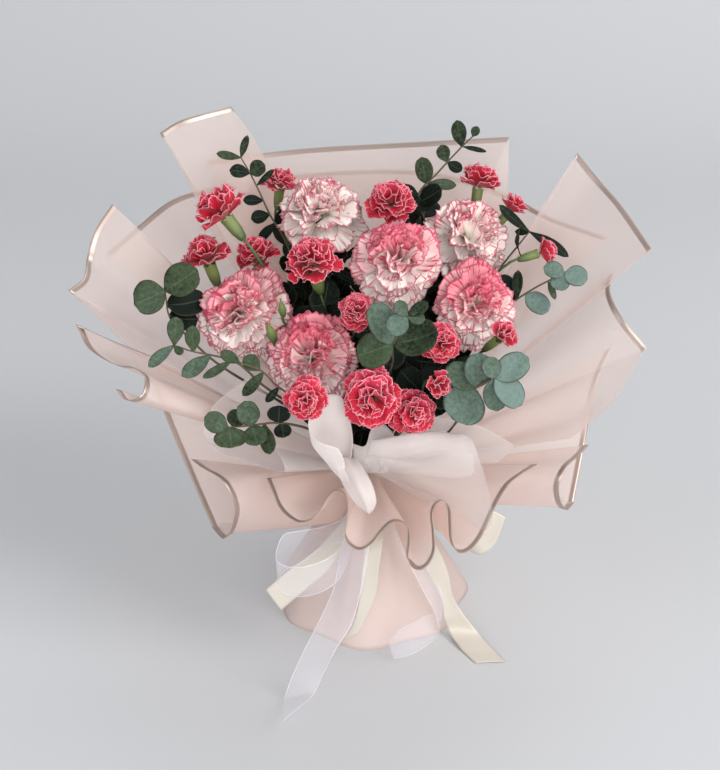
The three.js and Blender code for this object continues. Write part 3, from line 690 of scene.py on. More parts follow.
LEAFY = {
    "eucalyptus_far_left": LeafySpray(
        ((-120, -40, 234), (-141, -45, 259), (-152, -43, 271), (-155, -42, 293)),
        ((3, (-178, -46, 284), 28, 0.45), (3, (-131, -34, 307), 26, 0.3),
         (2.5, (-126, -24, 280), 22, 0), (2.1, (-133, -30, 265), 20, 0)), (0.05, 0.3)),
    "eucalyptus_left_narrow": LeafySpray(
        ((-82, -75, 231), (-101, -72, 248), (-118, -75, 255), (-132, -75, 258), (-146, -75, 263)),
        ((4, (-165, -80, 248), 9), (4, (-143, -76, 286), 12), (3, (-132, -73, 278), 11),
         (4, (-139, -84, 260), 6), (2.1, (-140, -86, 243), 12), (1.2, (-125, -84, 241), 7)), (0.35, 0.6)),
    "eucalyptus_left_small": LeafySpray(
        ((-55, -85, 222), (-72, -90, 239), (-81, -90, 249), (-97, -90, 256)),
        ((3, (-111, -84, 262), 9), (2.1, (-94, -84, 258), 12), (1.9, (-95, -98, 233), 9),
         (0.8, (-78, -100, 229), 6, 0.05)), (0.2, 0.5)),
    "eucalyptus_lower_left": LeafySpray(
        ((-50, -98, 207), (-71, -108, 216), (-91, -113, 216), (-105, -117, 217)),
        ((3, (-121, -120, 226), 16), (2.9, (-102, -128, 206), 24, 0.35),
         (2.7, (-97, -108, 227), 14, 0.2), (1.8, (-93, -116, 237), 17, 0.5),
         (1.8, (-83, -128, 208), 18, 0.45), (1.4, (-74, -130, 202), 11, 0.3),
         (0.8, (-65, -112, 206), 13, 0), (0.9, (-68, -104, 228), 17, 0)), (0.3, 0.55)),
    "eucalyptus_centre": LeafySpray(
        ((9, -75, 231), (14, -92, 257), (14, -112, 280), (23, -124, 306)),
        ((2, (-12, -112, 270), 27, 0.4), (2, (44, -124, 295), 26, 0.2), (2, (-1, -110, 310), 21, 0.65),
         (3, (10, -130, 297), 16, 0.7), (3, (15, -124, 317), 10), (3, (35, -130, 306), 9),
         (3, (37, -126, 317), 9, 0.2)), (0.4, 0.7)),
    "eucalyptus_right_low": LeafySpray(
        ((50, -85, 190), (67, -108, 228), (73, -122, 251), (85, -130, 262)),
        ((2, (52, -112, 263), 20, 0.55), (1.9, (57, -128, 228), 32, 0.75),
         (2, (75, -116, 275), 21, 0.7), (3, (108, -124, 275), 20, 0.85),
         (3, (104, -134, 243), 20, 0.95), (2.9, (87, -132, 237), 17, 0.7),
         (3, (79, -126, 276), 14, 0.65)), (0.55, 0.9)),
    "eucalyptus_right": LeafySpray(
        ((83, -20, 252), (109, -15, 274), (126, -15, 286), (146, -15, 297)),
        ((1, (96, -8, 292), 19, 0), (1.1, (110, -20, 301), 8, 0.15), (1.5, (134, -26, 270), 16, 0.85),
         (2.4, (139, -24, 279), 5, 0.5), (3, (130, -14, 301), 14, 0.8), (3, (163, -20, 294), 17, 0.9),
         (3, (139, -24, 287), 15, 0.85)), (0.4, 0.8)),
    "eucalyptus_top_right": LeafySpray(
        ((43, 55, 307), (37, 60, 335), (52, 64, 352), (71, 66, 373), (79, 66, 381)),
        ((1, (22, 56, 342), 10, 0), (1, (44, 54, 324), 12, 0), (1.5, (39, 64, 365), 14),
         (1.5, (67, 60, 343), 9, 0.45), (2.4, (54, 66, 374), 11), (2.4, (71, 60, 355), 10),
         (3, (66, 66, 394), 12), (3, (90, 62, 370), 4), (4, (83, 66, 389), 7)), (0.05, 0.3)),
    "eucalyptus_top_left": LeafySpray(
        ((-70, 55, 299), (-82, 60, 319), (-89, 62, 335), (-97, 64, 352), (-104, 66, 364)),
        ((0.6, (-91, 54, 299), 8, 0), (1, (-97, 58, 316), 11, 0), (1.7, (-103, 60, 331), 9, 0),
         (3, (-113, 62, 355), 11, 0.1), (3, (-85, 64, 359), 14, 0.2), (2.4, (-78, 60, 356), 5, 0.1),
         (4, (-123, 64, 368), 7, 0.3), (4, (-98, 66, 382), 6, 0.2)), (0.05, 0.25)),
    "eucalyptus_right_edge": LeafySpray(
        ((85, 15, 263), (100, 18, 288), (111, 20, 303), (122, 20, 318)),
        ((3, (98, 22, 339), 8, 0.05), (3, (153, 16, 299), 9, 0.05), (3, (112, 30, 315), 6, 0.05)),
        (0.05, 0.2)),
}
TISSUES = {
    "tissue_left": WrapSheet(0, (206, 256), (
        ((-94, -64, 232), (-120, -78, 214), (-126, -88, 196), (-112, -100, 187)),
        ((-112, -100, 187), (-98, -104, 184), (-81, -112, 182), (-69, -120, 182), (-64, -126, 187),
         (-67, -122, 195), (-74, -112, 198)),
    ), (False, False), (0.1, 0.125), 0.49),
    "tissue_right": WrapSheet(0, (276, 328), (
        ((8, -112, 178), (14, -108, 196), (28, -104, 206), (44, -100, 216), (60, -100, 214),
         (77, -96, 208), (94, -90, 196), (106, -86, 186)),
        ((106, -86, 186), (99, -86, 177), (94, -84, 170)),
    ), (False, False), (0.1, 0.1), 0.49),
}
# Folds of tissue over the tie: lines that run outwards side by side, each from the tie.
CALLA = (
    ((-5, -23, 129), (-20, -118, 178), (-15, -122, 200), (-15, -124, 217), (-20, -122, 239)),
    ((-6, -23, 129), (-19, -112, 175), (-17, -112, 197), (-18, -113, 217), (-25, -114, 241)),
    ((-7, -22, 129), (-21, -110, 174), (-26, -110, 192), (-30, -111, 212), (-33, -114, 241)),
    ((-8, -22, 129), (-22, -112, 174), (-32, -117, 192), (-40, -119, 211), (-42, -120, 235)),
    ((-9, -22, 129), (-24, -120, 177), (-34, -128, 195), (-43, -134, 211), (-46, -134, 226)),
    ((-8, -23, 129), (-23, -126, 180), (-28, -136, 197), (-34, -144, 211), (-39, -148, 221)),
    ((-6, -24, 129), (-21, -128, 181), (-20, -138, 197), (-22, -146, 209), (-25, -150, 217)),
)
TONGUE = (
    ((-7, -24, 129), (-31, -112, 186), (-27, -132, 190), (-20, -145, 182), (-12, -150, 172),
     (-5, -150, 166)),
    ((-5, -24, 129), (-22, -112, 190), (-17, -136, 196), (-10, -153, 188), (-5, -157, 177),
     (-3, -155, 167)),
    ((-3, -24, 129), (-12, -112, 188), (-6, -136, 192), (0, -149, 185), (2, -153, 176), (0, -151, 168)),
)
PUFF = (
    ((0, -24, 129), (5, -108, 181), (2, -114, 200), (-1, -120, 207), (-4, -130, 201), (-6, -139, 203),
     (-2, -143, 195), (14, -143, 188)),
    ((2, -24, 129), (19, -104, 183), (20, -110, 205), (19, -121, 212), (17, -131, 199), (11, -147, 208),
     (16, -151, 194), (29, -147, 178)),
    ((4, -24, 129), (37, -100, 183), (37, -108, 206), (36, -120, 213), (35, -131, 202), (34, -148, 202),
     (39, -152, 186), (44, -140, 168)),
    ((6, -24, 129), (54, -96, 183), (55, -106, 206), (55, -118, 212), (55, -130, 206), (57, -142, 197),
     (60, -145, 177), (61, -132, 157)),
    ((8, -23, 129), (70, -92, 177), (70, -98, 196), (71, -108, 203), (74, -120, 196), (77, -129, 184),
     (80, -134, 162), (80, -134, 141)),
    ((10, -22, 129), (75, -92, 165), (75, -95, 180), (77, -100, 186), (80, -106, 180), (84, -112, 168),
     (88, -121, 152), (88, -122, 139)),
)
FRILL = (
    ((-5, -24, 129), (-14, -98, 172), (-14, -108, 186), (-15, -104, 197)),
    ((-3, -24, 129), (-9, -98, 172), (-8, -110, 187), (-6, -108, 197)),
    ((-1, -24, 129), (-4, -97, 172), (-4, -108, 188), (-1, -100, 207)),
    ((1, -24, 129), (1, -96, 172), (2, -106, 189), (7, -98, 210)),
    ((3, -24, 129), (7, -95, 172), (9, -104, 190), (13, -100, 206)),
    ((4, -24, 129), (12, -95, 172), (15, -103, 191), (17, -103, 200)),
)
# Each fold's lines, its flat size, and how dense its tissue looks at the tie and at its edge.
FOLDS = {
    "tissue_roll": (CALLA, (0.04, 0.12), (1.46, 1.46)),
    "tissue_tongue": (TONGUE, (0.02, 0.15), (0.8, 0.8)),
    "tissue_puff": (PUFF, (0.09, 0.16), (0.72, 0.0)),
    "tissue_frill": (FRILL, (0.028, 0.12), (0.95, 0.95)),
}
SATIN_STRIPS = (
    Strip(((230, 113), (224, 107)),
          ((-18, -42, 106), (-41, -72, 90), (-63, -80, 75), (-84, -84, 57)),
          ((-16, -44, 88), (-33, -72, 70), (-52, -80, 55), (-72, -86, 39))),
    Strip(((262, 111), (276, 111)),
          ((-5, -60, 106), (-6, -86, 97), (-9, -94, 69), (-11, -96, 50), (-15, -96, 33),
           (-22, -94, 18)),
          ((9, -60, 110), (8, -86, 103), (5, -94, 82), (3, -96, 62), (-3, -98, 45), (-12, -98, 26))),
    Strip(((288, 108), (296, 113)),
          ((32, -58, 80), (42, -64, 63), (50, -66, 51), (57, -66, 33), (58, -66, 19), (62, -66, 7),
           (71, -84, 2), (82, -103, 1)),
          ((44, -58, 91), (52, -62, 82), (61, -66, 60), (65, -66, 40), (73, -68, 25), (87, -70, 6),
           (99, -88, 2), (106, -101, 1))),
    Strip(((318, 113), (318, 107)),
          ((46, -52, 112), (60, -66, 108), (73, -82, 104), (82, -84, 112), (92, -86, 130)),
          ((46, -50, 96), (62, -62, 91), (84, -82, 88), (94, -84, 98), (102, -86, 124))),
)
ORGANZA_STRIPS = (
    Strip(((240, 119.5), (240, 116)),
          ((-22, -66, 113), (-38, -88, 117), (-55, -106, 124), (-67, -116, 126), (-72, -127, 112),
           (-63, -134, 110), (-45, -138, 114), (-28, -130, 119), (-13, -75, 120)),
          ((-20, -62, 94), (-36, -86, 93), (-55, -108, 96), (-69, -120, 94), (-71, -129, 86),
           (-60, -134, 84), (-43, -138, 88), (-27, -132, 95), (-12, -72, 104)),
          ((256, 119.5), (256, 116))),
    Strip(((262, 118), (272, 118)),
          ((-16, -70, 120), (-22, -110, 120), (-26, -130, 108), (-30, -134, 90), (-40, -138, 66),
           (-52, -144, 42), (-62, -146, 18), (-67, -150, 4), (-66.6, -184, 18), (-66, -209, 26)),
          ((4, -72, 118), (-2, -112, 118), (-6, -134, 106), (-10, -138, 86), (-16, -142, 64),
           (-28, -146, 44), (-38, -142, 18), (-44, -146, 5), (-53, -178, 18), (-65, -208, 26.4))),
    Strip(((282, 118), (296, 118)),
          ((16, -70, 114), (20, -104, 112), (30, -124, 100), (39, -124, 80), (47, -122, 62),
           (51, -120, 45), (51, -104, 27), (43, -102, 17), (30, -102, 8), (17, -102, 4)),
          ((34, -66, 112), (38, -98, 110), (43, -116, 92), (52, -112, 75), (54, -110, 62),
           (52, -112, 47), (46, -100, 45), (34, -98, 37), (22, -96, 28), (13, -96, 14))),
)
FILMS = {
    "film_back_left": WrapSheet(0, (157, 120), (
        ((-130, 92, 287), (-152, 92, 340), (-170, 88, 378)),
        ((-170, 88, 378), (-156, 92, 386), (-137, 102, 390), (-115, 118, 392)),
        ((-115, 118, 392), (-96, 117, 364), (-78, 112, 327)),
    ), (False, True, False), (0.14, 0.15)),
    "film_right_wing": WrapSheet(0, (40, -20), (
        ((98, 40, 262), (136, 58, 326), (164, 76, 365)),
        ((164, 76, 365), (178, 62, 350), (192, 36, 338), (206, 4, 322), (212, -12, 315)),
    ), (False, True), (0.13, 0.15)),
    "film_left_wing": WrapSheet(0, (160, 198), (
        ((-140, 22, 262), (-172, 30, 304), (-203, 34, 336)),
        ((-203, 34, 336), (-216, 22, 318), (-222, 14, 300), (-222, -6, 290), (-230, -28, 288)),
        ((-230, -28, 288), (-216, -16, 266), (-200, -8, 242), (-168, -14, 212)),
    ), (False, True, False), (0.12, 0.15)),
    "film_back_top": WrapSheet(1, (140, 44), (
        ((-137, 124, 345), (-59, 145, 349), (40, 145, 355), (114, 124, 365)),
        ((114, 124, 365), (113, 108, 324), (106, 74, 275)),
    ), (True, False), (0.25, 0.18)),
    "film_right_fold": WrapSheet(1, (-2, -46), (
        ((186, 4, 290), (182, -16, 282), (188, -38, 270), (206, -50, 250)),
        ((206, -50, 250), (180, -66, 212), (150, -74, 186)),
    ), (True, False), (0.11, 0.15)),
    "film_left_roll": WrapSheet(1, (190, 214), (
        ((-166, -52, 244), (-200, -38, 252), (-228, -22, 258)),
        ((-228, -22, 258), (-218, -34, 244), (-196, -52, 238), (-178, -68, 242), (-168, -82, 240),
         (-170, -94, 231), (-182, -90, 226), (-190, -80, 230)),
    ), (True, True), (0.12, 0.16), 0.3),
    "film_back_arch": WrapSheet(2, (168, 20), (
        ((-217, 70, 283), (-194, 100, 296), (-165, 125, 312), (-108, 150, 319), (-26, 165, 324),
         (54, 153, 326), (115, 130, 314), (149, 100, 304), (192, 66, 298)),
    ), (True,), (0.38, 0.18), 0.2),
    "film_front_ruffle": WrapSheet(2, (230, 326), (
        ((-79, -100, 166), (-75, -108, 160), (-70, -116, 151), (-62, -124, 146), (-54, -128, 144),
         (-45, -128, 147), (-39, -124, 153), (-34, -118, 159), (-27, -112, 162), (-21, -112, 158),
         (-19, -118, 151), (-20, -128, 142), (-21, -134, 136), (-17, -139, 131), (-10, -142, 129),
         (-2, -141, 133), (5, -135, 139), (14, -126, 143), (22, -121, 140), (27, -121, 133),
         (27, -128, 124), (26, -134, 117), (28, -140, 114), (34, -144, 113), (40, -144, 117),
         (45, -140, 126), (45, -131, 137), (44, -122, 148), (47, -118, 154), (52, -116, 156),
         (57, -117, 150), (58, -123, 139), (59, -129, 128), (63, -134, 122), (70, -134, 123),
         (79, -128, 130), (85, -121, 139), (91, -113, 149), (101, -102, 161), (112, -92, 165),
         (125, -80, 167)),
    ), (True,), (0.16, 0.15), 1.0),
    "film_lower_left": WrapSheet(3, (168, 226), (
        ((-184, 38, 188), (-171, 20, 162), (-150, -10, 124), (-127, -52, 94)),
        ((-127, -52, 94), (-117, -74, 98), (-108, -92, 118), (-104, -100, 142), (-112, -98, 162),
         (-130, -84, 167), (-138, -74, 168)),
    ), (True, True), (0.13, 0.15), 0.6, (14, -40, -28), 0.5),
    "film_lower_right": WrapSheet(3, (14, -50), (
        ((196, 34, 214), (182, 14, 190), (172, -10, 148), (160, -46, 113)),
        ((160, -46, 113), (152, -64, 118), (144, -78, 136), (142, -84, 154), (148, -78, 164),
         (160, -62, 166), (168, -50, 168)),
    ), (True, True), (0.13, 0.15), 0.25, (-14, -36, -18), 0.5),
}


# ---------------------------------------------------------------- curves and grids
def unit(vector: np.ndarray) -> np.ndarray:
    """A vector made one unit long."""
    return vector / max(float(np.linalg.norm(vector)), 1e-9)


def smooth(share: np.ndarray) -> np.ndarray:
    """An eased step from 0 to 1."""
    held = np.clip(share, 0.0, 1.0)
    return held * held * (3.0 - 2.0 * held)


def curve_at(points: Sequence[np.ndarray], shares: Iterable[float]) -> np.ndarray:
    """Points of a centripetal Catmull-Rom curve.

    Args:
        points: the points that it goes through.
        shares: where, from 0 at the first point to 1 at the last.

    Returns:
        One row for each share.
    """
    rows = [np.array(p, float) for p in points]
    first, last = 2 * rows[0] - rows[1], 2 * rows[-1] - rows[-2]
    padded = [first, *rows, last]
    found = []
    for share in shares:
        place = min(max(share, 0.0), 1.0) * (len(rows) - 1)
        i = min(int(place), len(rows) - 2)
        t = place - i
        a, b, c, d = padded[i:i + 4]
        gaps = [max(float(np.linalg.norm(q - p)) ** 0.5, 1e-3)
                for p, q in ((a, b), (b, c), (c, d))]
        m1 = (b - a) / gaps[0] - (c - a) / (gaps[0] + gaps[1]) + (c - b) / gaps[1]
        m2 = (c - b) / gaps[1] - (d - b) / (gaps[1] + gaps[2]) + (d - c) / gaps[2]
        m1, m2 = m1 * gaps[1], m2 * gaps[1]
        found.append(b + m1 * t + (3 * (c - b) - 2 * m1 - m2) * t * t
                     + (2 * (b - c) + m1 + m2) * t ** 3)
    return np.array(found)


def summed(steps: np.ndarray) -> np.ndarray:
    """Distance run along a line, from 0 and after each of its steps."""
    return np.concatenate(([0.0], np.cumsum(steps)))


def run_along(points: np.ndarray) -> np.ndarray:
    """Distance run along a line at each of its points."""
    return summed(np.linalg.norm(np.diff(points, axis=0), axis=1))


def read_at(where: np.ndarray | float, run: np.ndarray, values: np.ndarray) -> np.ndarray:
    """Points or directions of a line, read at a distance run along it."""
    return np.stack([np.interp(where, run, values[:, k]) for k in range(3)], axis=-1)


def even_spacing(points: np.ndarray, count: int) -> np.ndarray:
    """Resample a line of points at even distances."""
    run = run_along(points)
    return read_at(np.linspace(0.0, run[-1], count), run, points)


def loft(rails: Sequence[Sequence[Point]], rows: int, columns: int) -> np.ndarray:
    """A grid of points over lines that run side by side, each with as many points.

    Args:
        rails: the lines, each from its start to its end.
        rows: how many points along the lines.
        columns: how many points across them.

    Returns:
        The grid, shaped (rows, columns, 3).
    """
    marks = np.array(rails, float)
    run = summed(np.linalg.norm(np.diff(marks, axis=1), axis=2).mean(axis=0))
    steps = np.interp(np.linspace(0, run[-1], rows), run, np.arange(len(run))) / (len(run) - 1)
    lines = np.array([curve_at(list(rail), steps) for rail in marks])
    side = summed(np.linalg.norm(np.diff(lines, axis=0), axis=2).mean(axis=1))
    places = np.interp(np.linspace(0, side[-1], columns), side, np.arange(len(side)))
    places = places / (len(side) - 1)
    return np.array([curve_at(list(lines[:, i]), places) for i in range(rows)])


def normals_of(grid: np.ndarray) -> np.ndarray:
    """The surface's direction outwards at each point of a grid."""
    normals = np.cross(np.gradient(grid, axis=0), np.gradient(grid, axis=1))
    return normals / np.maximum(np.linalg.norm(normals, axis=2), 1e-6)[..., None]


def arc_at(radius: np.ndarray | float, angles: np.ndarray, z: float) -> np.ndarray:
    """Points round the tie's axis at one height."""
    return np.stack([radius * np.cos(angles), radius * np.sin(angles), np.full(len(angles), z)], 1)


def stacked_rings(radii: Sequence[np.ndarray], heights: Sequence[float]) -> np.ndarray:
    """A grid of closed rings round the tie's axis.

    Args:
        radii: each ring's radius at evenly spaced angles.
        heights: each ring's height.

    Returns:
        The grid, one row for each ring.
    """
    angles = np.arange(len(radii[0])) * math.tau / len(radii[0])
    return np.array([arc_at(radius, angles, z) for radius, z in zip(radii, heights)])


def distance_to_line(points: np.ndarray, line: np.ndarray) -> np.ndarray:
    """Shortest distance from each point to a line of points.

    Args:
        points: the points.
        line: the line.

    Returns:
        One distance for each point.
    """
    best = np.full(len(points), 1e9)
    for a, b in zip(line[:-1], line[1:]):
        along = b - a
        share = np.clip((points - a) @ along / max(along @ along, 1e-9), 0.0, 1.0)
        near = a + share[:, None] * along
        best = np.minimum(best, np.linalg.norm(points - near, axis=1))
    return best


def turned(x: np.ndarray | float, y: np.ndarray | float, angle: float) -> tuple:
    """A place in the plane, turned about the plane's origin by an angle in radians."""
    return x * math.cos(angle) - y * math.sin(angle), x * math.sin(angle) + y * math.cos(angle)


def turn_to(axis: np.ndarray) -> np.ndarray:
    """Matrix that turns +Z to an axis."""
    spin = Vector((0, 0, 1)).rotation_difference(Vector(axis))
    return np.array(spin.to_matrix())


@dataclass
class Patch:
    """Vertices, faces, UV and tone of a part of a mesh, in millimetres."""

    points: np.ndarray
    faces: list[tuple[int, ...]]
    uv: np.ndarray
    tone: np.ndarray


def grid_patch(grid: np.ndarray, tone: np.ndarray | Colour, closed: bool = False) -> Patch:
    """A patch from a grid of points, rows by columns.

    Args:
        grid: the points, shaped (rows, columns, 3).
        tone: one tone for all, or one for each point.
        closed: whether each row closes on itself.

    Returns:
        The patch, with UV across the columns and along the rows.
    """
    rows, columns = grid.shape[:2]
    faces = []
    for i in range(rows - 1):
        for j in range(columns if closed else columns - 1):
            k = (j + 1) % columns
            faces.append((i * columns + j, i * columns + k,
                          (i + 1) * columns + k, (i + 1) * columns + j))
    across, along = np.meshgrid(np.linspace(0, 1, columns), np.linspace(0, 1, rows))
    uv = np.stack([across.ravel(), along.ravel()], axis=1)
    flat = np.broadcast_to(np.array(tone, float).reshape(-1, 3), (rows * columns, 3))
    return Patch(grid.reshape(-1, 3), faces, uv, np.array(flat))


def tube_patch(line: np.ndarray, radii: np.ndarray, sides: int, tone: Colour) -> Patch:
    """A round tube with closed ends, cut off flat at the table.

    Args:
        line: its centre line.
        radii: its radius at each point.
        sides: how many facets it has round.
        tone: its tone.

    Returns:
        The patch.
    """
    tangents = np.gradient(line, axis=0)
    across = unit(np.cross(tangents[0], ACROSS))
    grid = []
    for point, tangent, radius in zip(line, tangents, radii):
        tangent = unit(tangent)
        across = unit(across - tangent * (across @ tangent))
        other = np.cross(tangent, across)
        angles = np.linspace(0, math.tau, sides, endpoint=False)
        ring = [point + radius * (math.cos(a) * across + math.sin(a) * other) for a in angles]
        grid.append(ring)
    patch = grid_patch(np.array(grid), tone, closed=True)
    patch.points[:, 2] = np.maximum(patch.points[:, 2], 0.0)
    count = len(patch.points)
    patch.faces.append(tuple(reversed(range(sides))))
    patch.faces.append(tuple(range(count - sides, count)))
    return patch


def select_nothing() -> None:
    """Leave edit mode and deselect all objects."""
    if bpy.context.object and bpy.context.object.mode != "OBJECT":
        bpy.ops.object.mode_set(mode="OBJECT")
    bpy.ops.object.select_all(action="DESELECT")


def put(name: str, data: bpy.types.ID) -> bpy.types.Object:
    """A new object in the scene."""
    thing = bpy.data.objects.new(name, data)
    bpy.context.scene.collection.objects.link(thing)
    return thing


def read_blank(piece: bpy.types.Object) -> tuple[np.ndarray, list[tuple[int, ...]]]:
    """Read a modelled blank and remove it.

    Args:
        piece: the blank.

    Returns:
        Its vertices and faces.
    """
    points = np.array([v.co[:] for v in piece.data.vertices])
    faces = [tuple(face.vertices) for face in piece.data.polygons]
    bpy.data.objects.remove(piece, do_unlink=True)
    return points, faces


def thicken(piece: bpy.types.Object, thickness: float) -> None:
    """Give a sheet a thickness about its middle with Solidify, applied.

    Args:
        piece: the sheet.
        thickness: in millimetres.
    """
    select_nothing()
    bpy.context.view_layer.objects.active = piece
    piece.select_set(True)
    solid = piece.modifiers.new("thickness", "SOLIDIFY")
    solid.thickness = thickness * MM
    solid.offset = 0.0
    bpy.ops.object.modifier_apply(modifier=solid.name)
    select_nothing()


def make_piece(name: str, patches: Sequence[Patch], material: bpy.types.Material,
               thickness: float = 0.0) -> bpy.types.Object:
    """A mesh object of several patches, in metres.

    Args:
        name: the object's name.
        patches: what it is made of.
        material: its finish.
        thickness: what a sheet gets, in millimetres.

    Returns:
        The object.
    """
    mesh = bpy.data.meshes.new(name)
    points = np.concatenate([p.points for p in patches]) * MM
    faces, start = [], 0
    for patch in patches:
        faces += [tuple(start + i for i in face) for face in patch.faces]
        start += len(patch.points)
    mesh.from_pydata(points.tolist(), [], faces)
    uv = np.concatenate([p.uv for p in patches])
    tone = np.concatenate([p.tone for p in patches])
    corner = np.zeros(len(mesh.loops), np.int32)
    mesh.loops.foreach_get("vertex_index", corner)
    layer = mesh.uv_layers.new(name="UVMap")
    layer.data.foreach_set("uv", uv[corner].astype(np.float32).ravel())
    colours = mesh.color_attributes.new("tone", "FLOAT_COLOR", "POINT")
    four = np.concatenate([tone, np.ones((len(tone), 1))], axis=1)
    colours.data.foreach_set("color", four.astype(np.float32).ravel())
    mesh.materials.append(material)
    mesh.shade_smooth()
    piece = put(name, mesh)
    if thickness:
        thicken(piece, thickness)
    return piece


def settle(piece: bpy.types.Object, slot: str, *nodes: str) -> None:
    """Attach a piece to the root body, hide the CAD nodes that it replaces and log its faces.

    Args:
        piece: the piece.
        slot: its material slot; not used.
        *nodes: the CAD nodes that it replaces.
    """
    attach(piece, "root")
    if nodes:
        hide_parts(*nodes)
    log.info("%s: %d faces", piece.name, len(piece.data.polygons))


def cut_from(piece: bpy.types.Object, flat: tuple[float, float]) -> None:
    """Log a sheet's area as a share of its flat size before it was gathered in the tie.

    Args:
        piece: the sheet.
        flat: its width and length in metres.
    """
    share = sum(face.area for face in piece.data.polygons) / 2 / (flat[0] * flat[1])
    log.info("%s: %.2f of its flat size", piece.name, share)


# ---------------------------------------------------------------- the stems' packing
@dataclass
class Stem:
    """A stem through the tie, with the points that it leans to."""

    name: str
    diameter: float
    leads: list[np.ndarray]
    heads: tuple[Head, ...] = ()
    closed: tuple[Head, ...] = ()
    leaves: tuple[tuple[float | Point, ...], ...] = ()
    wax_and_shade: tuple[float, float] = (0.0, 1.0)
    place: np.ndarray = field(default_factory=lambda: np.zeros(2))


@dataclass
class Tie:
    """The tied neck: how the stems are packed in it and how wide its layers are.

    spread is how much further out a stem stands on the table than in the tie, turn how many
    degrees round it has come by there, and ease how early both happen. slant is the share of
    two leaning stems' widths that they need between their middles, and gap what is left free.
    The packing starts from each stem's lean, and its first rounds also draw it together.
    """

    neck_top: float = 130
    neck_bottom: float = 104
    spread: float = 4
    turn: float = 55
    ease: float = 1.25
    large: float = 4.6
    spray: float = 3.6
    leafy: float = 3.2
    cord: float = 1.4
    cord_gap: float = 0.2
    first_layer: float = 0.7
    layer_step: float = 1.15
    lean: float = 9
    slant: float = 0.535
    gap: float = 0.25
    rounds: int = 700
    drawn_rounds: int = 500
    draw: float = 0.985
    central: int = 3
    root_shares: tuple[float, ...] = (0.0, 0.3, 0.6, 0.85)
    stems: list[Stem] = field(default_factory=list)
    packed: float = 0.0

    def __post_init__(self) -> None:
        """Gather the stems and pack them."""
        for i, head in enumerate(LARGE_HEADS):
            self.stems.append(Stem(f"large_stem_{i + 1}", self.large, head.approach(), (head,)))
        for i, spray in enumerate(SPRAYS):
            fork = [np.array(spray.fork, float)]
            self.stems.append(
                Stem(f"spray_stem_{i + 1}", self.spray, fork, spray.heads, spray.closed))
        for name, leafy in LEAFY.items():
            leads = [np.array(p, float) for p in leafy.stem]
            self.stems.append(Stem(name, self.leafy, leads, leaves=leafy.leaves, wax_and_shade=leafy.wax_and_shade))
        self._pack()

    def _pack(self) -> None:
        """Pack the stems round the central one, each on the side that it leans to."""
        places = []
        for stem in self.stems:
            lead = stem.leads[0]
            places.append(list(lead[:2] * self.lean / (lead[2] - self.neck_top)))
        places[self.central] = [0.0, 0.0]
        widths = [stem.diameter for stem in self.stems]
        for turn in range(self.rounds):
            for i, a in enumerate(places):
                for j in range(i + 1, len(places)):
                    b = places[j]
                    x, y = b[0] - a[0], b[1] - a[1]
                    apart = math.hypot(x, y)
                    short = (widths[i] + widths[j]) * self.slant + self.gap - apart
                    if short <= 0:
                        continue
                    push = short / 2 / (apart or 1)
                    a[0] -= x * push
                    a[1] -= y * push
                    b[0] += x * push
                    b[1] += y * push
            draw = self.draw if turn < self.drawn_rounds else 1.0
            for place in places:
                place[0] *= draw
                place[1] *= draw
            places[self.central][:] = [0.0, 0.0]
        for stem, place in zip(self.stems, places):
            stem.place = np.array(place)
        self.packed = max(math.hypot(*p) + w / 2 for p, w in zip(places, widths))

    def layer_radius(self, layer: int) -> float:
        """Radius of a wrap layer in the tie."""
        outer = self.packed + self.cord_gap + self.cord
        return outer + self.first_layer + self.layer_step * layer

    def path(self, stem: Stem) -> list[np.ndarray]:
        """A stem's path from the table up the spiral, through the tie and on to its leads.

        Args:
            stem: the stem.

        Returns:
            Its points.
        """
        points = []
        for share in self.root_shares:
            ease = (1 - share) ** self.ease
            place = stem.place * (1 + (self.spread - 1) * ease)
            x, y = turned(*place, math.radians(self.turn) * ease)
            points.append(np.array([x, y, self.neck_bottom * share]))
        for z in (self.neck_bottom, self.neck_top):
            points.append(np.array([*stem.place, z]))
        return points + stem.leads


# ---------------------------------------------------------------- flower heads
@dataclass(frozen=True)
class PetalRing:
    """One ring of petals, from the outside in.

    tilt is in degrees above the head's face; reach and root are shares of its radius; curl is
    how far the blade bends outwards along its length, in degrees. spin is how far a petal may
    be turned about its own root, and stray how far that root may stand from its place.
    """

    count: int
    tilt: float
    reach: float
    root: float
    fan: float
    curl: float
    ruffle: float
    tone: float
    spin: float = 0.0
    stray: float = 0.0


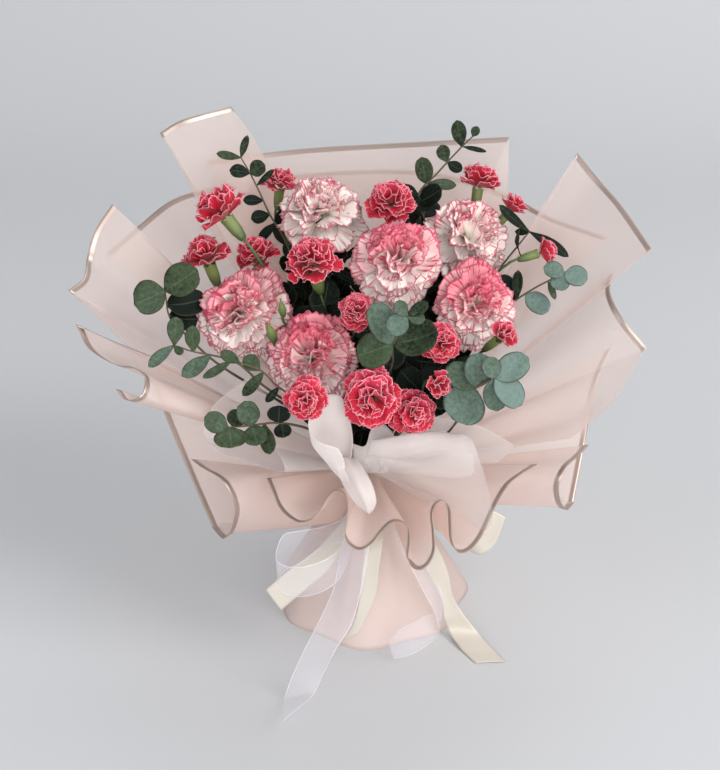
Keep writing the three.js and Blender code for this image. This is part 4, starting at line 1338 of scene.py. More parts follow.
@dataclass
class Blooms:
    """All flower heads, from a petal blank that is bent into every petal.

    A petal's edge is rounded at its corners and notched, by depth and turns, and its blade
    waves by size and least and most turns. claw is where the blade starts. Each ring is
    turned by level_turn degrees from the last, and the petals on the side that is turned
    upwards in the picture are pinker. Two heads nearer than near press each other, with
    press_gap left between them, and press_free is the share of a head that isn't pressed.
    upwards is the picture's own upward direction.
    """

    columns: int = 24
    rows: int = 8
    tooth: float = 0.035
    thickness: float = 0.35
    rounding: float = 0.22
    notches: tuple[tuple[float, float], ...] = ((0.035, 5), (0.016, 17), (0.014, 29))
    waves: tuple[Point, ...] = ((1.25, 0.55, 0.95), (0.75, 1.3, 2.0), (0.3125, 2.6, 3.4))
    claw: float = 0.08
    level_turn: float = 11
    upper_pink: float = 0.5
    upwards: Point = (0.0, 0.4226, 0.9063)
    near: float = 4
    press_gap: float = 0.5
    press_free: float = 0.6
    seed: int = 40
    rings: dict[Form, tuple[PetalRing, ...]] = field(default_factory=lambda: {
        Form.LARGE: (
            PetalRing(6, -8, 1.14, -0.24, 36, 24, 0.05, 0.0, 6),
            PetalRing(6, 6, 1.1, -0.18, 38, 28, 0.06, 0.0, 10),
            PetalRing(5, 22, 1.05, -0.14, 42, 34, 0.08, 0.05, 16, 0.03),
            PetalRing(5, 40, 1.0, -0.1, 42, 40, 0.1, 0.15, 25, 0.05),
            PetalRing(5, 56, 0.96, -0.08, 42, 40, 0.12, 0.25, 40, 0.08),
            PetalRing(4, 70, 0.92, -0.06, 44, 36, 0.13, 0.35, 60, 0.12),
            PetalRing(4, 82, 0.88, -0.06, 42, 30, 0.13, 0.42, 80, 0.16),
        ),
        Form.OPEN: (
            PetalRing(5, 4, 1.1, -0.22, 40, 28, 0.07, 0.0, 10),
            PetalRing(5, 22, 1.05, -0.16, 42, 36, 0.09, 0.1, 16, 0.03),
            PetalRing(4, 42, 1.0, -0.1, 46, 44, 0.11, 0.2, 30, 0.08),
            PetalRing(4, 62, 0.96, -0.06, 46, 44, 0.13, 0.35, 50, 0.12),
            PetalRing(3, 80, 0.92, -0.04, 44, 36, 0.13, 0.45, 80, 0.14),
        ),
        Form.CUP: (
            PetalRing(5, 16, 1.16, -0.32, 38, 26, 0.07, 0.0, 10),
            PetalRing(5, 34, 1.12, -0.24, 40, 34, 0.09, 0.1, 16, 0.03),
            PetalRing(4, 54, 1.06, -0.16, 42, 36, 0.11, 0.25, 35, 0.08),
            PetalRing(4, 72, 1.0, -0.1, 40, 30, 0.13, 0.35, 70, 0.14),
        ),
        Form.BUD: (
            PetalRing(4, 34, 1.16, -0.44, 34, 14, 0.05, 0.0, 10),
            PetalRing(4, 54, 1.16, -0.38, 34, 14, 0.07, 0.2, 20, 0.05),
            PetalRing(4, 74, 1.14, -0.32, 32, 10, 0.08, 0.4, 50, 0.12),
        ),
    })
    heads: list[Head] = field(default_factory=list)
    blank: tuple[np.ndarray, np.ndarray, list[tuple[int, ...]]] | None = None

    def __post_init__(self) -> None:
        """List the heads and model the blank."""
        self.heads = [*LARGE_HEADS, *(head for spray in SPRAYS for head in spray.heads)]
        self.blank = self._blank()

    def _blank(self) -> tuple[np.ndarray, np.ndarray, list[tuple[int, ...]]]:
        """Model one flat petal blank with a toothed edge.

        Returns:
            Its shares across (-1 to 1) and along (0 to 1), and its faces.
        """
        select_nothing()
        bpy.ops.mesh.primitive_grid_add(
            x_subdivisions=self.columns, y_subdivisions=self.rows, size=2.0)
        piece = bpy.context.object
        bpy.ops.object.mode_set(mode="EDIT")
        shape = bmesh.from_edit_mesh(piece.data)
        step = 2.0 / self.columns
        for vertex in shape.verts:
            column = round((vertex.co.x + 1.0) / step)
            vertex.select_set(vertex.co.y > 0.999 and column % 2 == 1)
        shape.select_flush(False)
        bmesh.update_edit_mesh(piece.data)
        bpy.ops.transform.translate(value=(0.0, -2.0 * self.tooth, 0.0))
        bpy.ops.object.mode_set(mode="OBJECT")
        points, faces = read_blank(piece)
        return points[:, 0], (points[:, 1] + 1.0) / 2.0, faces

    def _petal(self, ring: PetalRing, azimuth: float, dice: random.Random) -> Patch:
        """Bend the blank into one petal of a head of radius 1 that faces +Z.

        Args:
            ring: the ring that it belongs to.
            azimuth: where it stands, in degrees.
            dice: the head's own random numbers.

        Returns:
            The petal.
        """
        v, u, faces = self.blank
        reach = ring.reach * dice.uniform(0.88, 1.05)
        tilt = math.radians(ring.tilt + dice.uniform(-1, 1) * (6 + 0.09 * ring.tilt))
        curl = math.radians(ring.curl + dice.uniform(-10, 12))
        fan = math.radians(ring.fan + dice.uniform(-5, 6))
        margin = 1.0 - self.rounding * np.abs(v) ** 2.4
        for depth, turns in self.notches:
            margin = margin + depth * np.sin(v * turns + dice.uniform(0, 6))
        s = self.claw + (reach * margin - self.claw) * u
        phi = v * fan * (0.25 + 0.75 * smooth(u / 0.65))
        x, y = s * np.cos(phi), s * np.sin(phi)
        a, b = tilt + curl * 0.5, -curl / reach
        theta = a + b * x
        r = (np.sin(theta) - math.sin(a)) / b
        z = -(np.cos(theta) - math.cos(a)) / b
        wave = np.zeros(len(v))
        for power, (size, least, most) in enumerate(self.waves):
            turns = dice.uniform(least, most)
            wave = wave + size * np.sin(math.tau * (v * turns + dice.random())) * u ** power
        lift = ring.ruffle * wave * u ** 2
        lift = lift + dice.uniform(-0.1, 0.4) * y * y / reach + dice.uniform(-0.16, 0.16) * y * u
        r, z = r - lift * np.sin(theta), z + lift * np.cos(theta)
        r, y = turned(r, y, math.radians(ring.spin) * dice.uniform(-1, 1))
        r = r + ring.stray * dice.uniform(0.2, 1.0)
        x, y = turned(r, y, math.radians(azimuth))
        uv = np.stack([v / 2 + 0.5, np.where(u > 0.93, 1.0, u)], axis=1)
        tone = (min(max(ring.tone + dice.uniform(-0.12, 0.12), 0.0), 1.0), dice.random(), 0.0)
        return Patch(np.stack([x, y, z + ring.root], axis=1), faces, uv, np.tile(tone, (len(v), 1)))

    def _pressed(self, points: np.ndarray, head: Head) -> np.ndarray:
        """Press a head's points back from the plane it shares with each close neighbour.

        Args:
            points: the points, in millimetres.
            head: the head.

        Returns:
            The pressed points.
        """
        for other in self.heads:
            apart = float(np.linalg.norm(other.centre - head.centre))
            if other is head or apart > head.radius + other.radius + self.near:
                continue
            towards = unit(other.centre - head.centre)
            wall = apart * head.radius / (head.radius + other.radius) - self.press_gap
            free = wall * self.press_free
            depth = (points - head.centre) @ towards
            room = wall - free
            past = np.maximum(depth - free, 0.0)
            squeezed = free + room * (1 - np.exp(-past / room))
            points = points + np.where(depth > free, squeezed - depth, 0.0)[:, None] * towards
        return points

    def _head(self, head: Head, seed: int) -> list[Patch]:
        """All petals of one head, in place.

        Args:
            head: the head.
            seed: of its own random numbers.

        Returns:
            One patch for each petal, pinker on the side that is turned up to the viewer.
        """
        dice = random.Random(seed)
        turn = turn_to(head.axis)
        patches = []
        for level, ring in enumerate(self.rings[head.form]):
            for i in range(ring.count):
                azimuth = (i + 0.5 * (level % 2)) * 360 / ring.count + level * self.level_turn
                azimuth += dice.uniform(-9, 9)
                patch = self._petal(ring, azimuth, dice)
                outwards = turn @ (*turned(1.0, 0.0, math.radians(azimuth)), 0.0)
                pink = patch.tone[:, 0] + head.blush + self.upper_pink * outwards @ self.upwards
                patch.tone[:, 0] = np.clip(pink, 0.0, 1.0)
                points = patch.points * head.radius @ turn.T + head.centre
                patch.points = self._pressed(points, head)
                patches.append(patch)
        return patches

    def build(self) -> None:
        """Make and dress every head."""
        cream, crimson = LARGE_PETALS.build(), SPRAY_PETALS.build()
        small = 0
        for index, head in enumerate(self.heads):
            if head.form is Form.LARGE:
                node, finish, skin = f"large_bloom_{index + 1}", LARGE_PETALS, cream
            else:
                small += 1
                node, finish, skin = f"spray_bloom_{small:02d}", SPRAY_PETALS, crimson
            petals = self._head(head, self.seed + index)
            piece = make_piece(node + "_petals", petals, skin, self.thickness)
            settle(piece, finish.slot, node)


# ---------------------------------------------------------------- stems and leaves
@dataclass
class Greens:
    """Stems with their calyxes, branches and leaves.

    A leaf wider than round_leaf has the round outline. Leaves inside the bunch start at the
    height low_from. They stay within least_side of the middle, plus low_side for each
    millimetre above low_foot, and behind low_front, which leans forwards above lean_from. Each
    kind has its length, its width and its step along the stem. No leaf comes nearer to a head
    than head_share of its radius or stands before it as seen from the camera's direction,
    viewed_from. calyx_steps are rises and scales of the calyx from its foot.
    """

    tie: Tie
    heads: Sequence[Head]
    walls: Sequence[BVHTree]
    branch: float = 2.2
    round_leaf: float = 12.5
    blade: float = 0.5
    leaf_rows: int = 13
    leaf_columns: int = 9
    low_from: float = 165
    low_side: float = 0.85
    low_front: float = 98
    low_foot: float = 150
    least_side: float = 8
    middle: float = -5
    lean_from: float = 215
    front_lean: float = 0.5
    head_share: float = 0.9
    low_leaf: tuple[float, float, float] = (28, 22, 13)
    inner_leaf: tuple[float, float, float] = (26, 19, 14)
    long_leaf: tuple[float, float, float] = (62, 7, 24)
    branch_leafy: float = 0.6
    wall_gap: float = 0.003
    seed: int = 300
    viewed_from: Point = (0.0, -0.9063, 0.4226)
    lobe: float = 0.12
    calyx_steps: tuple[tuple[float, float], ...] = (
        (0.12, 1.35), (0.28, 1.36), (0.3, 1.08), (0.22, 1.02), (0.08, 1.08))
    round_outline: tuple[tuple[float, float], ...] = (
        (0, 0.1), (0.07, 0.38), (0.28, 0.87), (0.55, 1), (0.82, 0.8), (0.96, 0.42), (1, 0.05))
    narrow_outline: tuple[tuple[float, float], ...] = (
        (0, 0.1), (0.12, 0.4), (0.42, 0.95), (0.68, 1), (0.9, 0.62), (0.98, 0.25), (1, 0.04))
    calyx_blank: tuple[np.ndarray, list[tuple[int, ...]]] | None = None

    def __post_init__(self) -> None:
        """Model the calyx blank."""
        self.calyx_blank = self._calyx_blank()

    def _calyx_blank(self) -> tuple[np.ndarray, list[tuple[int, ...]]]:
        """Model one calyx of mouth radius 1 and length 1, with five pointed lobes.

        Returns:
            Its vertices and faces.
        """
        select_nothing()
        bpy.ops.mesh.primitive_circle_add(vertices=20, radius=0.5, fill_type="NGON")
        piece = bpy.context.object
        bpy.ops.object.mode_set(mode="EDIT")
        bpy.ops.mesh.select_all(action="SELECT")
        bpy.ops.mesh.flip_normals()
        bpy.ops.mesh.select_all(action="DESELECT")
        shape = bmesh.from_edit_mesh(piece.data)
        rim = [edge for edge in shape.edges if edge.is_boundary]
        for edge in rim:
            edge.select_set(True)
        bmesh.update_edit_mesh(piece.data)
        for rise, scale in self.calyx_steps:
            bpy.ops.mesh.extrude_edges_move(
                TRANSFORM_OT_translate={"value": (0.0, 0.0, rise)})
            bpy.ops.transform.resize(value=(scale, scale, 1.0))
        bpy.ops.object.mode_set(mode="OBJECT")
        points, faces = read_blank(piece)
        mouth = points[:, 2] > points[:, 2].max() - 1e-4
        angle = np.arctan2(points[:, 1], points[:, 0])
        points[:, 2] += np.where(mouth, self.lobe * np.abs(np.cos(2.5 * angle)) ** 3, 0.0)
        points[:, :2] /= np.abs(points[:, 0]).max()
        return points, faces

    def _calyx(self, head: Head) -> Patch:
        """The green cup under a head.

        Args:
            head: the head.

        Returns:
            The cup, with its length as the second number of its UV.
        """
        points, faces = self.calyx_blank
        scale = np.array([head.calyx_radius, head.calyx_radius, head.calyx_length])
        placed = points * scale @ turn_to(head.axis).T + head.calyx_end
        uv = np.stack([np.arctan2(points[:, 1], points[:, 0]) / math.tau, points[:, 2]], axis=1)
        return Patch(placed, faces, uv, np.tile((1.0, 0.5, 0.0), (len(points), 1)))

    def _bud(self, head: Head) -> Patch:
        """A bud that is still shut: a calyx drawn to a point.

        Args:
            head: the bud.

        Returns:
            The bud.
        """
        bud = self._calyx(head)
        along = bud.uv[:, 1]
        axis = head.calyx_end + np.outer(along * head.calyx_length, head.axis)
        bud.points = axis + (bud.points - axis) * (1 - 0.85 * smooth(along * 1.7 - 0.7))[:, None]
        return bud

    def _leaf(self, root: np.ndarray, tip: np.ndarray, width: float, dice: random.Random,
              pale: tuple[float, float]) -> Patch:
        """One leaf from a point on its stem to its tip, folded a little along its rib.

        Args:
            root: where it leaves the stem.
            tip: its far end.
            width: its greatest width.
            dice: the spray's own random numbers.
            pale: the least and the most wax bloom it may have; very little paints the leaf near-black as
                shade.

        Returns:
            The leaf.
        """
        along = tip - root
        length = float(np.linalg.norm(along))
        along = along / length
        across = unit(np.cross(along, (0.0, -0.8, 0.6)))
        normal = unit(np.cross(across, along))
        outline = self.round_outline if width > self.round_leaf else self.narrow_outline
        t = np.linspace(0, 1, self.leaf_rows)[:, None]
        v = np.linspace(-1, 1, self.leaf_columns)[None, :]
        line = np.array([(share, half, 0.0) for share, half in outline])
        dense = curve_at(list(line), np.linspace(0, 1, 60))
        half = np.interp(t, dense[:, 0], dense[:, 1]) * width / 2
        fold, bow = dice.uniform(0.05, 0.16), dice.uniform(-0.1, 0.07)
        twist = dice.uniform(-0.25, 0.25)
        lift = fold * width * (np.abs(v) ** 1.3 - 0.5) * np.sin(math.pi * t)
        lift = lift + bow * length * np.sin(math.pi * t) + twist * half * v * t
        lift = lift + 0.02 * width * np.sin(9 * t + 3 * v)
        grid = (root + along * (length * t)[..., None] + across * (half * v)[..., None]
                + normal * lift[..., None])
        return grid_patch(grid, (dice.uniform(*pale), dice.random(), 0.0))

    def _low_leaves(self, line: np.ndarray, kind: tuple[float, float, float],
                    dice: random.Random) -> list[Patch]:
        """Leaves in pairs inside the bunch, each pair turned across the last, painted near-black as
        shade.

        Args:
            line: the stem's centre line, up to its first leaf in the open.
            kind: the leaves' length and width, and the step from one pair to the next.
            dice: the stem's own random numbers.

        Returns:
            The leaves that stay clear of the flower heads.
        """
        line = line[line[:, 2] > self.low_from]
        if len(line) < 3:
            return []
        tangents = np.gradient(line, axis=0)
        run = run_along(line)
        *size, step = kind
        leaves = []
        for pair, place in enumerate(np.arange(dice.uniform(0, step), run[-1], step)):
            root = read_at(place, run, line)
            along = unit(read_at(place, run, tangents))
            side = unit(np.cross(along, ACROSS))
            turn = math.radians(90 * pair + dice.uniform(-25, 25))
            out = math.cos(turn) * side + math.sin(turn) * np.cross(along, side)
            for way in (-1, 1):
                length, width = (extent * dice.uniform(0.8, 1.15) for extent in size)
                tip = root + unit(way * out + along * dice.uniform(0.3, 0.8)) * length
                # painted shade: almost no wax, so these leaves take the leaf finish's near-black
                leaf = self._leaf(root, tip, width, dice, (0.0, 0.05))
                if self._is_clear(root, leaf.points):
                    leaves.append(leaf)
        return leaves

    def _is_clear(self, root: np.ndarray, points: np.ndarray) -> bool:
        """Whether a leaf stays inside the bunch, behind the heads and clear of the wraps.

        Args:
            root: where it leaves its stem.
            points: the leaf's own.

        Returns:
            True if it does.
        """
        height = points[:, 2]
        side = self.low_side * (height - self.low_foot) + self.least_side
        front = self.low_front + self.front_lean * np.maximum(height - self.lean_from, 0.0)
        if (np.abs(points[:, 0] - self.middle) > side).any() or (-points[:, 1] > front).any():
            return False
        for head in self.heads:
            apart = points - head.centre
            if np.linalg.norm(apart, axis=1).min() < self.head_share * head.radius:
                return False
            before = apart @ self.viewed_from
            aside = np.linalg.norm(apart - np.outer(before, self.viewed_from), axis=1)
            if ((before > 0) & (aside < head.radius)).any():
                return False
        start = Vector(root * MM)
        for point in points[::5]:
            way = Vector(point * MM) - start
            if any(wall.ray_cast(start, way, way.length + self.wall_gap)[0] for wall in self.walls):
                return False
        return True

    def _stalk(self, points: list[np.ndarray], diameter: float, lit: float) -> Patch:
        """A round stalk through points, with a slight swelling at its joints.

        Args:
            points: what it runs through.
            diameter: its own.
            lit: how far it has the calyxes' paler green.

        Returns:
            The stalk.
        """
        line = curve_at(points, np.linspace(0, 1, 8 * (len(points) - 1) + 1))
        line = line[line[:, 2] >= -0.001]
        radii = np.full(len(line), diameter / 2)
        radii[4::12] *= 1.16
        return tube_patch(line, radii, 10, (lit, 0.5, 0.0))

    def _carnation(self, stem: Stem, skin: bpy.types.Material, leaf: bpy.types.Material,
                   seed: int) -> None:
        """A carnation stem with its branches, calyxes and leaves.

        Args:
            stem: the stem.
            skin: the stalks' finish.
            leaf: the leaves' finish.
            seed: of its own random numbers.
        """
        path = self.tie.path(stem)
        dice = random.Random(seed)
        line = curve_at(path, np.linspace(0, 1, 80))
        blades = self._low_leaves(line, self.long_leaf, dice)
        blades += self._low_leaves(line, self.inner_leaf, dice)
        patches = [self._stalk(path, stem.diameter, 0.0)]
        patches += [self._calyx(head) for head in stem.heads]
        patches += [self._bud(head) for head in stem.closed]
        if len(stem.heads) > 1:
            fork = stem.leads[0]
            start = fork - unit(fork - path[-2]) * 3
            for head in (*stem.heads, *stem.closed):
                branch = [start, *head.approach()]
                patches.append(self._stalk(branch, self.branch, 0.3))
                line = curve_at(branch, np.linspace(0, self.branch_leafy, 40))
                blades += self._low_leaves(line, self.inner_leaf, dice)
        if blades:
            settle(make_piece(stem.name + "_blades", blades, leaf, self.blade), LEAF.slot)
        settle(make_piece(stem.name + "_stalk", patches, skin), STEM.slot, stem.name)

    def _eucalyptus(self, stem: Stem, skin: bpy.types.Material, seed: int) -> None:
        """A eucalyptus stem with its leaves.

        Args:
            stem: the stem.
            skin: its finish.
            seed: of its own random numbers.
        """
        dice = random.Random(seed)
        path = self.tie.path(stem)
        first = len(path) - len(stem.leads)
        count = 8 * (len(path) - 1) + 1
        line = curve_at(path, np.linspace(0, 1, count))
        taper = np.interp(np.arange(count), [0, 8 * first - 8, 8 * first, count - 1],
                          [1.0, 1.0, 0.6, 0.35])
        stalk = tube_patch(line, taper * stem.diameter / 2, 8, (0.2, 0.5, 1.0))
        leaves = []
        for share, tip, width, *own in stem.leaves:
            root = curve_at(path, [(first + share) / (len(path) - 1)])[0]
            # a leaf's own low wax paints it dark as shade; a high one gives it more bloom
            wax_and_shade = (own[0], own[0]) if own else stem.wax_and_shade
            leaves.append(self._leaf(root, np.array(tip, float), width, dice, wax_and_shade))
        first_leaf = min(leaf[0] for leaf in stem.leaves)
        low = curve_at(path, np.linspace(0, (first + first_leaf - 0.15) / (len(path) - 1), 80))
        leaves += self._low_leaves(low, self.low_leaf, dice)
        blades = make_piece(stem.name + "_leaves", leaves, skin, self.blade)
        for piece in (blades, make_piece(stem.name + "_twig", [stalk], skin)):
            settle(piece, LEAF.slot, stem.name)

    def build(self) -> None:
        """Make and dress every stem."""
        green, leaf = STEM.build(), LEAF.build()
        for index, stem in enumerate(self.tie.stems):
            if stem.leaves:
                self._eucalyptus(stem, leaf, self.seed + index)
            else:
                self._carnation(stem, green, leaf, self.seed + index)


# ---------------------------------------------------------------- wraps
@dataclass
class Wraps:
    """Film and tissue sheets that are gathered in the tie, and the film skirt below it.

    A sheet's rows stand at the distances near its edge, for a sharp metallic line, and then
    evenly down to the tie. waves gives its folds as wavelength and size, and edge_rows the
    rows near its edge.
    """

    tie: Tie
    drop: float = 1.6
    thickness: float = 0.3
    columns_per_mm: float = 0.42
    film_pleat: float = 2.6
    tissue_pleat: float = 2.0
    waves: tuple[tuple[float, float], ...] = ((17, 1.0), (9.5, 0.6), (31, 0.5))
    edge_rows: tuple[float, ...] = (0.0, 1.8, 3.6, 5.4, 9.0)
    inner_rows: int = 21
    widest_line: float = 20.0
    skirt_top: tuple[float, ...] = (121.5, 116.0, 110.0)
    skirt_foot: float = 80
    skirt_columns: int = 180
    skirt_flat: tuple[float, float] = (0.3, 0.13)
    crease: float = 3.0
    crease_turns: tuple[float, ...] = (2.3, 4.1, 6.7)
    fold_grid: tuple[int, int] = (48, 30)
    film_seed: int = 500
    tissue_seed: int = 600
    fold_seed: int = 700

    def _edge(self, sheet: WrapSheet) -> tuple[np.ndarray, np.ndarray, list[np.ndarray]]:
        """The outer edge of a sheet, and the stretches of it that carry foil.

        Args:
            sheet: the sheet.

        Returns:
            Points along the whole edge, each one's share of the arc in the tie, and one line
            for each foiled stretch.
        """
        points, shares, foiled = [], [], []
        steps = [len(s) - 1 if len(s) > 4 else (len(s) - 1) * 2 for s in sheet.edge]
        ends = summed(steps) / sum(steps)
        for k, (stretch, foil) in enumerate(zip(sheet.edge, sheet.foil)):
            dense = curve_at(stretch, np.linspace(0, 1, 16 * len(stretch)))
            run = run_along(dense)
            count = max(8, round(float(run[-1]) * self.columns_per_mm))
            line = even_spacing(dense, count)
            part = np.interp(np.linspace(0, 1, count), run / run[-1],
                             np.linspace(ends[k], ends[k + 1], len(dense)))
            points.append(line[min(k, 1):])
            shares.append(part[min(k, 1):])
            if foil:
                foiled.append(dense)
        return np.concatenate(points), np.concatenate(shares), foiled

    def _sheet(self, name: str, sheet: WrapSheet, skin: bpy.types.Material, pleat: float,
               seed: int) -> bpy.types.Object:
        """One sheet from its neck to its outer edge, with soft folds that run down to the tie.

        Args:
            name: the CAD node.
            sheet: the sheet.
            skin: its finish.
            pleat: depth of the folds in millimetres.
            seed: of its own random numbers.

        Returns:
            The piece.
        """
        dice = random.Random(seed)
        outer, shares, foiled = self._edge(sheet)
        radius = self.tie.layer_radius(sheet.layer)
        angles = np.radians(sheet.arc[0] + (sheet.arc[1] - sheet.arc[0]) * shares)
        high = arc_at(radius, angles, self.tie.neck_top - self.drop * sheet.layer)
        low = arc_at(radius, angles, self.tie.neck_bottom + 2)
        reach = np.linalg.norm(outer - high, axis=1)
        out = unit(np.cross(unit(outer[-1] - outer[0]), (outer - high).mean(0)))
        run = run_along(outer)
        phases = [dice.uniform(0, math.tau) for _ in self.waves]
        fold = sum(size * np.sin(run / length + phase)
                   for (length, size), phase in zip(self.waves, phases))
        bulge = np.exp(-((shares - sheet.belly_at) / 0.2) ** 2)[:, None] * np.array(sheet.belly)
        rows = []
        for distance in self.edge_rows:
            share = np.minimum(distance / reach, 0.5)[:, None]
            rows.append(outer + (high - outer) * share)
        for t in np.linspace(0, 1, self.inner_rows + 1)[1:]:
            first = np.minimum(self.edge_rows[-1] / reach, 0.5)
            share = (first + (1 - first) * t)[:, None]
            swell = pleat * math.sin(math.pi * min(1.0, t * 1.02)) ** 1.2
            row = outer + (high - outer) * share + (fold * swell)[:, None] * out
            rows.append(row + bulge * t * smooth((1 - t) / 0.16))
        grid = np.array([*rows, low])
        flat = grid.reshape(-1, 3)
        edge = np.full(len(flat), self.widest_line)
        for line in foiled:
            edge = np.minimum(edge, distance_to_line(flat, line))
        tone = np.broadcast_arrays(edge / self.widest_line, dice.random(), sheet.dense)
        patch = grid_patch(grid, np.stack(tone, axis=1))
        return make_piece(name + "_sheet", [patch], skin, self.thickness)

    def _skirt(self, skin: bpy.types.Material) -> bpy.types.Object:
        """The film skirt round the stems below the tie.

        Args:
            skin: its finish.

        Returns:
            The piece.
        """
        neck = self.tie.layer_radius(4)
        bottom = self.tie.neck_bottom
        heights = [*self.skirt_top, *np.linspace(bottom, 0.0, 26)]
        angles = np.arange(self.skirt_columns) * math.tau / self.skirt_columns
        folds = 3.2 * np.sin(7 * angles + math.radians(40)) + 2 * np.sin(3 * angles)
        radii = []
        for z in heights:
            drop = max(0.0, (bottom - z) / bottom)
            fine = 0.7 * np.sin(19 * angles + math.radians(30 * math.sin(drop * 3)))
            radius = neck + (self.skirt_foot - neck) * drop ** 0.85 + folds * drop
            radii.append(radius + fine * math.sin(math.pi * min(1.0, drop * 1.2)))
        # dense film: more opaque, and painted towards the film's shade colour as shade
        patch = grid_patch(stacked_rings(radii, heights), (1.0, 0.5, 1.0), closed=True)
        return make_piece("foot_skirt_sheet", [patch], skin, self.thickness)

    def _fold(self, name: str, rails: Sequence[Sequence[Point]], skin: bpy.types.Material,
              dense: tuple[float, float], seed: int) -> bpy.types.Object:
        """A fold of tissue over lines that run out from the tie, with small creases.

        Args:
            name: the piece's name.
            rails: the lines.
            skin: its finish.
            dense: how dense it looks at the tie and at its edge.
            seed: of its own random numbers.

        Returns:
            The piece.
        """
        dice = random.Random(seed)
        rows, columns = self.fold_grid
        grid = loft(rails, rows, columns)
        across, along = np.meshgrid(np.linspace(0, 1, columns), np.linspace(0, 1, rows))
        crease = np.zeros((rows, columns))
        for turns in self.crease_turns:
            slant = dice.uniform(-1.5, 1.5)
            crease += np.sin(math.tau * (turns * across + slant * along + dice.random())) / turns
        depth = crease * self.crease * along * (1.1 - along)
        grid = grid + normals_of(grid) * depth[..., None]
        cover = dense[0] + (dense[1] - dense[0]) * smooth((along - 0.5) / 0.5)
        tone = np.stack(np.broadcast_arrays(0.5, 0.5, cover.ravel()), axis=1)
        return make_piece(name, [grid_patch(grid, tone)], skin, self.thickness)

    def _dress(self, piece: bpy.types.Object, slot: str, flat: tuple[float, float], held: Held,
               *nodes: str) -> BVHTree:
        """Settle a sheet and log its share of its flat size.

        Args:
            piece: the sheet.
            slot: its material slot.
            flat: its width and length in metres.
            held: how it is held; not used.
            *nodes: the CAD nodes that it replaces.

        Returns:
            The sheet as a wall that leaves stay inside.
        """
        wall = BVHTree.FromObject(piece, bpy.context.evaluated_depsgraph_get())
        settle(piece, slot, *nodes)
        cut_from(piece, flat)
        return wall

    def build(self) -> list[BVHTree]:
        """Make and dress every sheet.

        Returns:
            The sheets above the tie, as walls that leaves stay inside.
        """
        walls = []
        film, tissue = FILM.build(), TISSUE.build()
        for sheets, finish, skin, pleat, seed in (
            (FILMS, FILM, film, self.film_pleat, self.film_seed),
            (TISSUES, TISSUE, tissue, self.tissue_pleat, self.tissue_seed),
        ):
            for index, (name, sheet) in enumerate(sheets.items()):
                piece = self._sheet(name, sheet, skin, pleat, seed + index)
                walls.append(self._dress(piece, finish.slot, sheet.flat, Held.GATHERED, name))
        for index, (name, (rails, flat, dense)) in enumerate(FOLDS.items()):
            piece = self._fold(name, rails, tissue, dense, self.fold_seed + index)
            walls.append(self._dress(piece, TISSUE.slot, flat, Held.FOLDED))
        skirt = self._skirt(film)
        self._dress(skirt, FILM.slot, self.skirt_flat, Held.GATHERED, "film_foot_skirt")
        return walls


# ---------------------------------------------------------------- ribbons
@dataclass
class Ribbon:
    """A ribbon: its band round the tie and the strips that leave it."""

    name: str
    finish: ClothFinish
    tie: Tie
    bottom: float
    top: float
    flat: tuple[float, float]
    strips: tuple[Strip, ...]
    thickness: float = 0.3
    cup: float = 0.6
    over_skirt: float = 1.35
    columns: int = 11
    band_columns: int = 120
    band_rows: int = 9
    table: float = 0.35
    tone: Colour = (0.5, 0.5, 0.0)

    @property
    def radius(self) -> float:
        """Radius of the band."""
        return self.tie.layer_radius(4) + self.over_skirt

    def _at_band(self, place: tuple[float, float]) -> Point:
        """A point of the band by its degrees and height."""
        return (*turned(self.radius, 0.0, math.radians(place[0])), place[1])

    def _strip(self, strip: Strip) -> Patch:
        """One strip, gathered at the band and flat further on.

        Args:
            strip: where it runs.

        Returns:
            The strip.
        """
        rails = []
        for side, edge in enumerate((strip.left, strip.right)):
            last = [self._at_band(strip.ends[side])] if strip.ends else []
            rails.append([self._at_band(strip.starts[side]), *edge, *last])
        rows = 16 * len(rails[0])
        grid = loft(rails, rows, self.columns)
        v = np.linspace(-1, 1, self.columns)[None, :]
        t = np.linspace(0, 1, rows)[:, None]
        from_band = np.minimum(t, 1 - t) if strip.ends else t
        pinch = np.maximum(0.0, 1 - from_band / 0.22) * smooth(from_band / 0.04)
        lift = 1.5 * pinch * np.sin(9 * v) + self.cup * (v * v - 0.4) * np.sin(11 * t + 1)
        grid = grid + normals_of(grid) * lift[..., None]
        grid[:, :, 2] = np.maximum(grid[:, :, 2], self.table)
        return grid_patch(grid, self.tone)

    def _band(self) -> Patch:
        """The turns of ribbon round the tie, with small creases.

        Returns:
            The band.
        """
        angles = np.arange(self.band_columns) * math.tau / self.band_columns
        heights = np.linspace(self.bottom, self.top, self.band_rows)
        radii = [
            self.radius + 0.25 * np.sin(z * 2.2 + 0.8 * np.sin(angles * 3)) + 0.1 * np.sin(angles * 17)
            for z in heights
        ]
        return grid_patch(stacked_rings(radii, heights), self.tone, closed=True)

    def build(self) -> None:
        """Make and dress the ribbon."""
        patches = [self._band(), *(self._strip(strip) for strip in self.strips)]
        piece = make_piece(self.name + "_cloth", patches, self.finish.build(), self.thickness)
        settle(piece, self.finish.slot, self.name)
        cut_from(piece, self.flat)


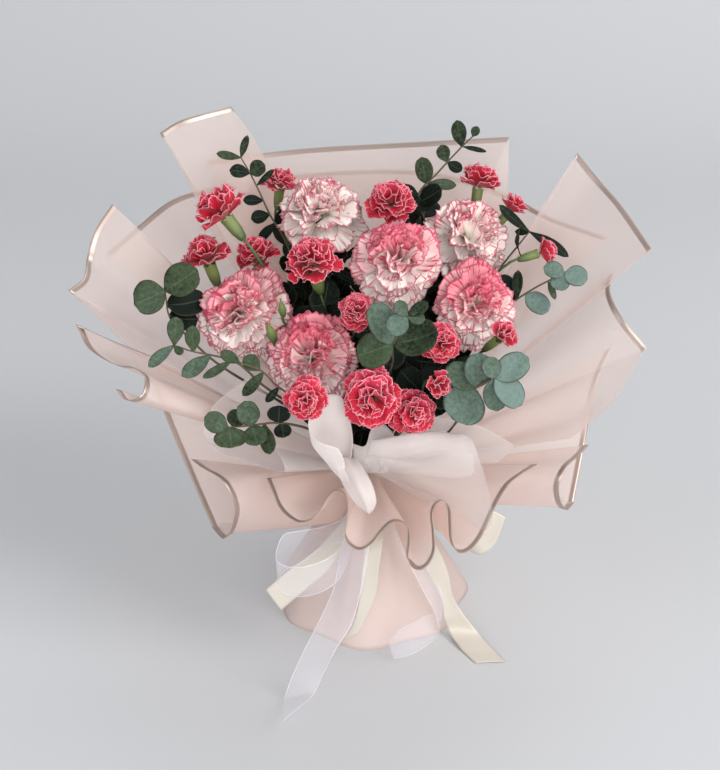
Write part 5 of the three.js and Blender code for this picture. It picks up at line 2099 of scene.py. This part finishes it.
@dataclass
class Cord:
    """The cord wound round the stems under the ribbons."""

    tie: Tie
    turns: int = 5
    first: float = 112.8
    step: float = 1.6

    def build(self) -> None:
        """Model one turn as a ring and copy it up the tie."""
        half = self.tie.cord / 2
        radius = self.tie.packed + self.tie.cord_gap + half
        select_nothing()
        rings = []
        for i in range(self.turns):
            bpy.ops.mesh.primitive_torus_add(
                location=(0, 0, (self.first + i * self.step) * MM), major_radius=radius * MM,
                minor_radius=half * MM, major_segments=96, minor_segments=10)
            rings.append(bpy.context.object)
        bpy.ops.object.select_all(action="DESELECT")
        for ring in rings:
            ring.select_set(True)
        bpy.context.view_layer.objects.active = rings[0]
        bpy.ops.object.join()
        bpy.ops.object.transform_apply(location=True, rotation=True, scale=True)
        piece = bpy.context.object
        piece.name = "binding_cord"
        piece.data.materials.append(TWINE.build())
        bpy.ops.object.shade_smooth()
        select_nothing()
        settle(piece, TWINE.slot, "binding_tie")


# ---------------------------------------------------------------- studio
@dataclass
class Studio:
    """The pale floor, the soft lights and the camera, in metres.

    Each light has its name, place, size, power and colour. The floor bends up into a wall
    behind the bunch, from bend_from with the radius bend.
    """

    place: Point = (-0.0096, -1.0423, 0.6820)
    pitch: float = 65.0
    lens: float = 67.2
    aim: Point = (0, 0, 0.2)
    bend_from: float = 1.2
    bend: float = 0.9
    lights: tuple[tuple[str, Point, float, float, Colour], ...] = (
        ("key", (2.7, -1.7, 2.6), 2.0, 108, (1.0, 0.985, 0.97)),
        ("fill", (-2.7, -1.6, 2.0), 2.6, 28, (0.95, 0.97, 1.0)),
        ("front", (0.4, -3.0, 0.6), 2.4, 98, (1.0, 0.99, 0.98)),
        ("back", (0.4, 2.2, 3.0), 2.4, 40, (1.0, 1.0, 1.0)),
    )
    sky: Colour = (0.93, 0.95, 1.0)
    sky_power: float = 0.4

    def _floor(self) -> None:
        """Model the floor, bend it up at the back and keep it off the part."""
        select_nothing()
        bpy.ops.mesh.primitive_grid_add(x_subdivisions=24, y_subdivisions=48, size=8.0)
        floor = bpy.context.object
        floor.name = "floor_sweep"
        for vertex in floor.data.vertices:
            past = vertex.co.y - self.bend_from
            if past > 0:
                angle = min(past / self.bend, math.pi / 2)
                rest = past - angle * self.bend
                vertex.co.y = self.bend_from + self.bend * math.sin(angle)
                vertex.co.z = self.bend * (1 - math.cos(angle)) + rest
        floor.data.materials.append(FloorFinish().build())
        bpy.ops.object.shade_smooth()
        select_nothing()

    def _lights(self) -> None:
        """Set up the soft lights, which face the bunch, and the sky's even light."""
        for name, place, size, power, colour in self.lights:
            data = bpy.data.lights.new(name, "AREA")
            data.size, data.energy, data.color = size, power, colour
            lamp = put(name, data)
            lamp.location = place
            towards = Vector(self.aim) - Vector(place)
            lamp.rotation_euler = towards.to_track_quat("-Z", "Y").to_euler()
        world = bpy.data.worlds.new("studio")
        world.use_nodes = True
        sky = world.node_tree.nodes["Background"]
        sky.inputs[0].default_value = (*self.sky, 1.0)
        sky.inputs[1].default_value = self.sky_power
        bpy.context.scene.world = world

    def build(self) -> None:
        """Set up the floor, the lights and the camera."""
        self._floor()
        self._lights()
        data = bpy.data.cameras.new("view")
        data.lens, data.sensor_width = self.lens, 36.0
        camera = put("view", data)
        camera.location = self.place
        camera.rotation_euler = (math.radians(self.pitch), 0.0, 0.0)
        bpy.context.scene.camera = camera
        bpy.context.scene.view_settings.view_transform = "Standard"


def main() -> None:
    """Build the bunch and its studio."""
    logging.basicConfig(level=logging.INFO, format="%(name)s %(message)s")
    tie = Tie()
    Studio().build()
    blooms = Blooms()
    blooms.build()
    Greens(tie, blooms.heads, Wraps(tie).build()).build()
    Cord(tie).build()
    Ribbon("satin_ribbon", SATIN, tie, bottom=105.5, top=114.5, flat=(0.02, 0.54),
           strips=SATIN_STRIPS).build()
    Ribbon("organza_ribbon", ORGANZA, tie, bottom=115.2, top=120.8, flat=(0.03, 0.55),
           strips=ORGANZA_STRIPS).build()


if __name__ == "__main__":
    main()
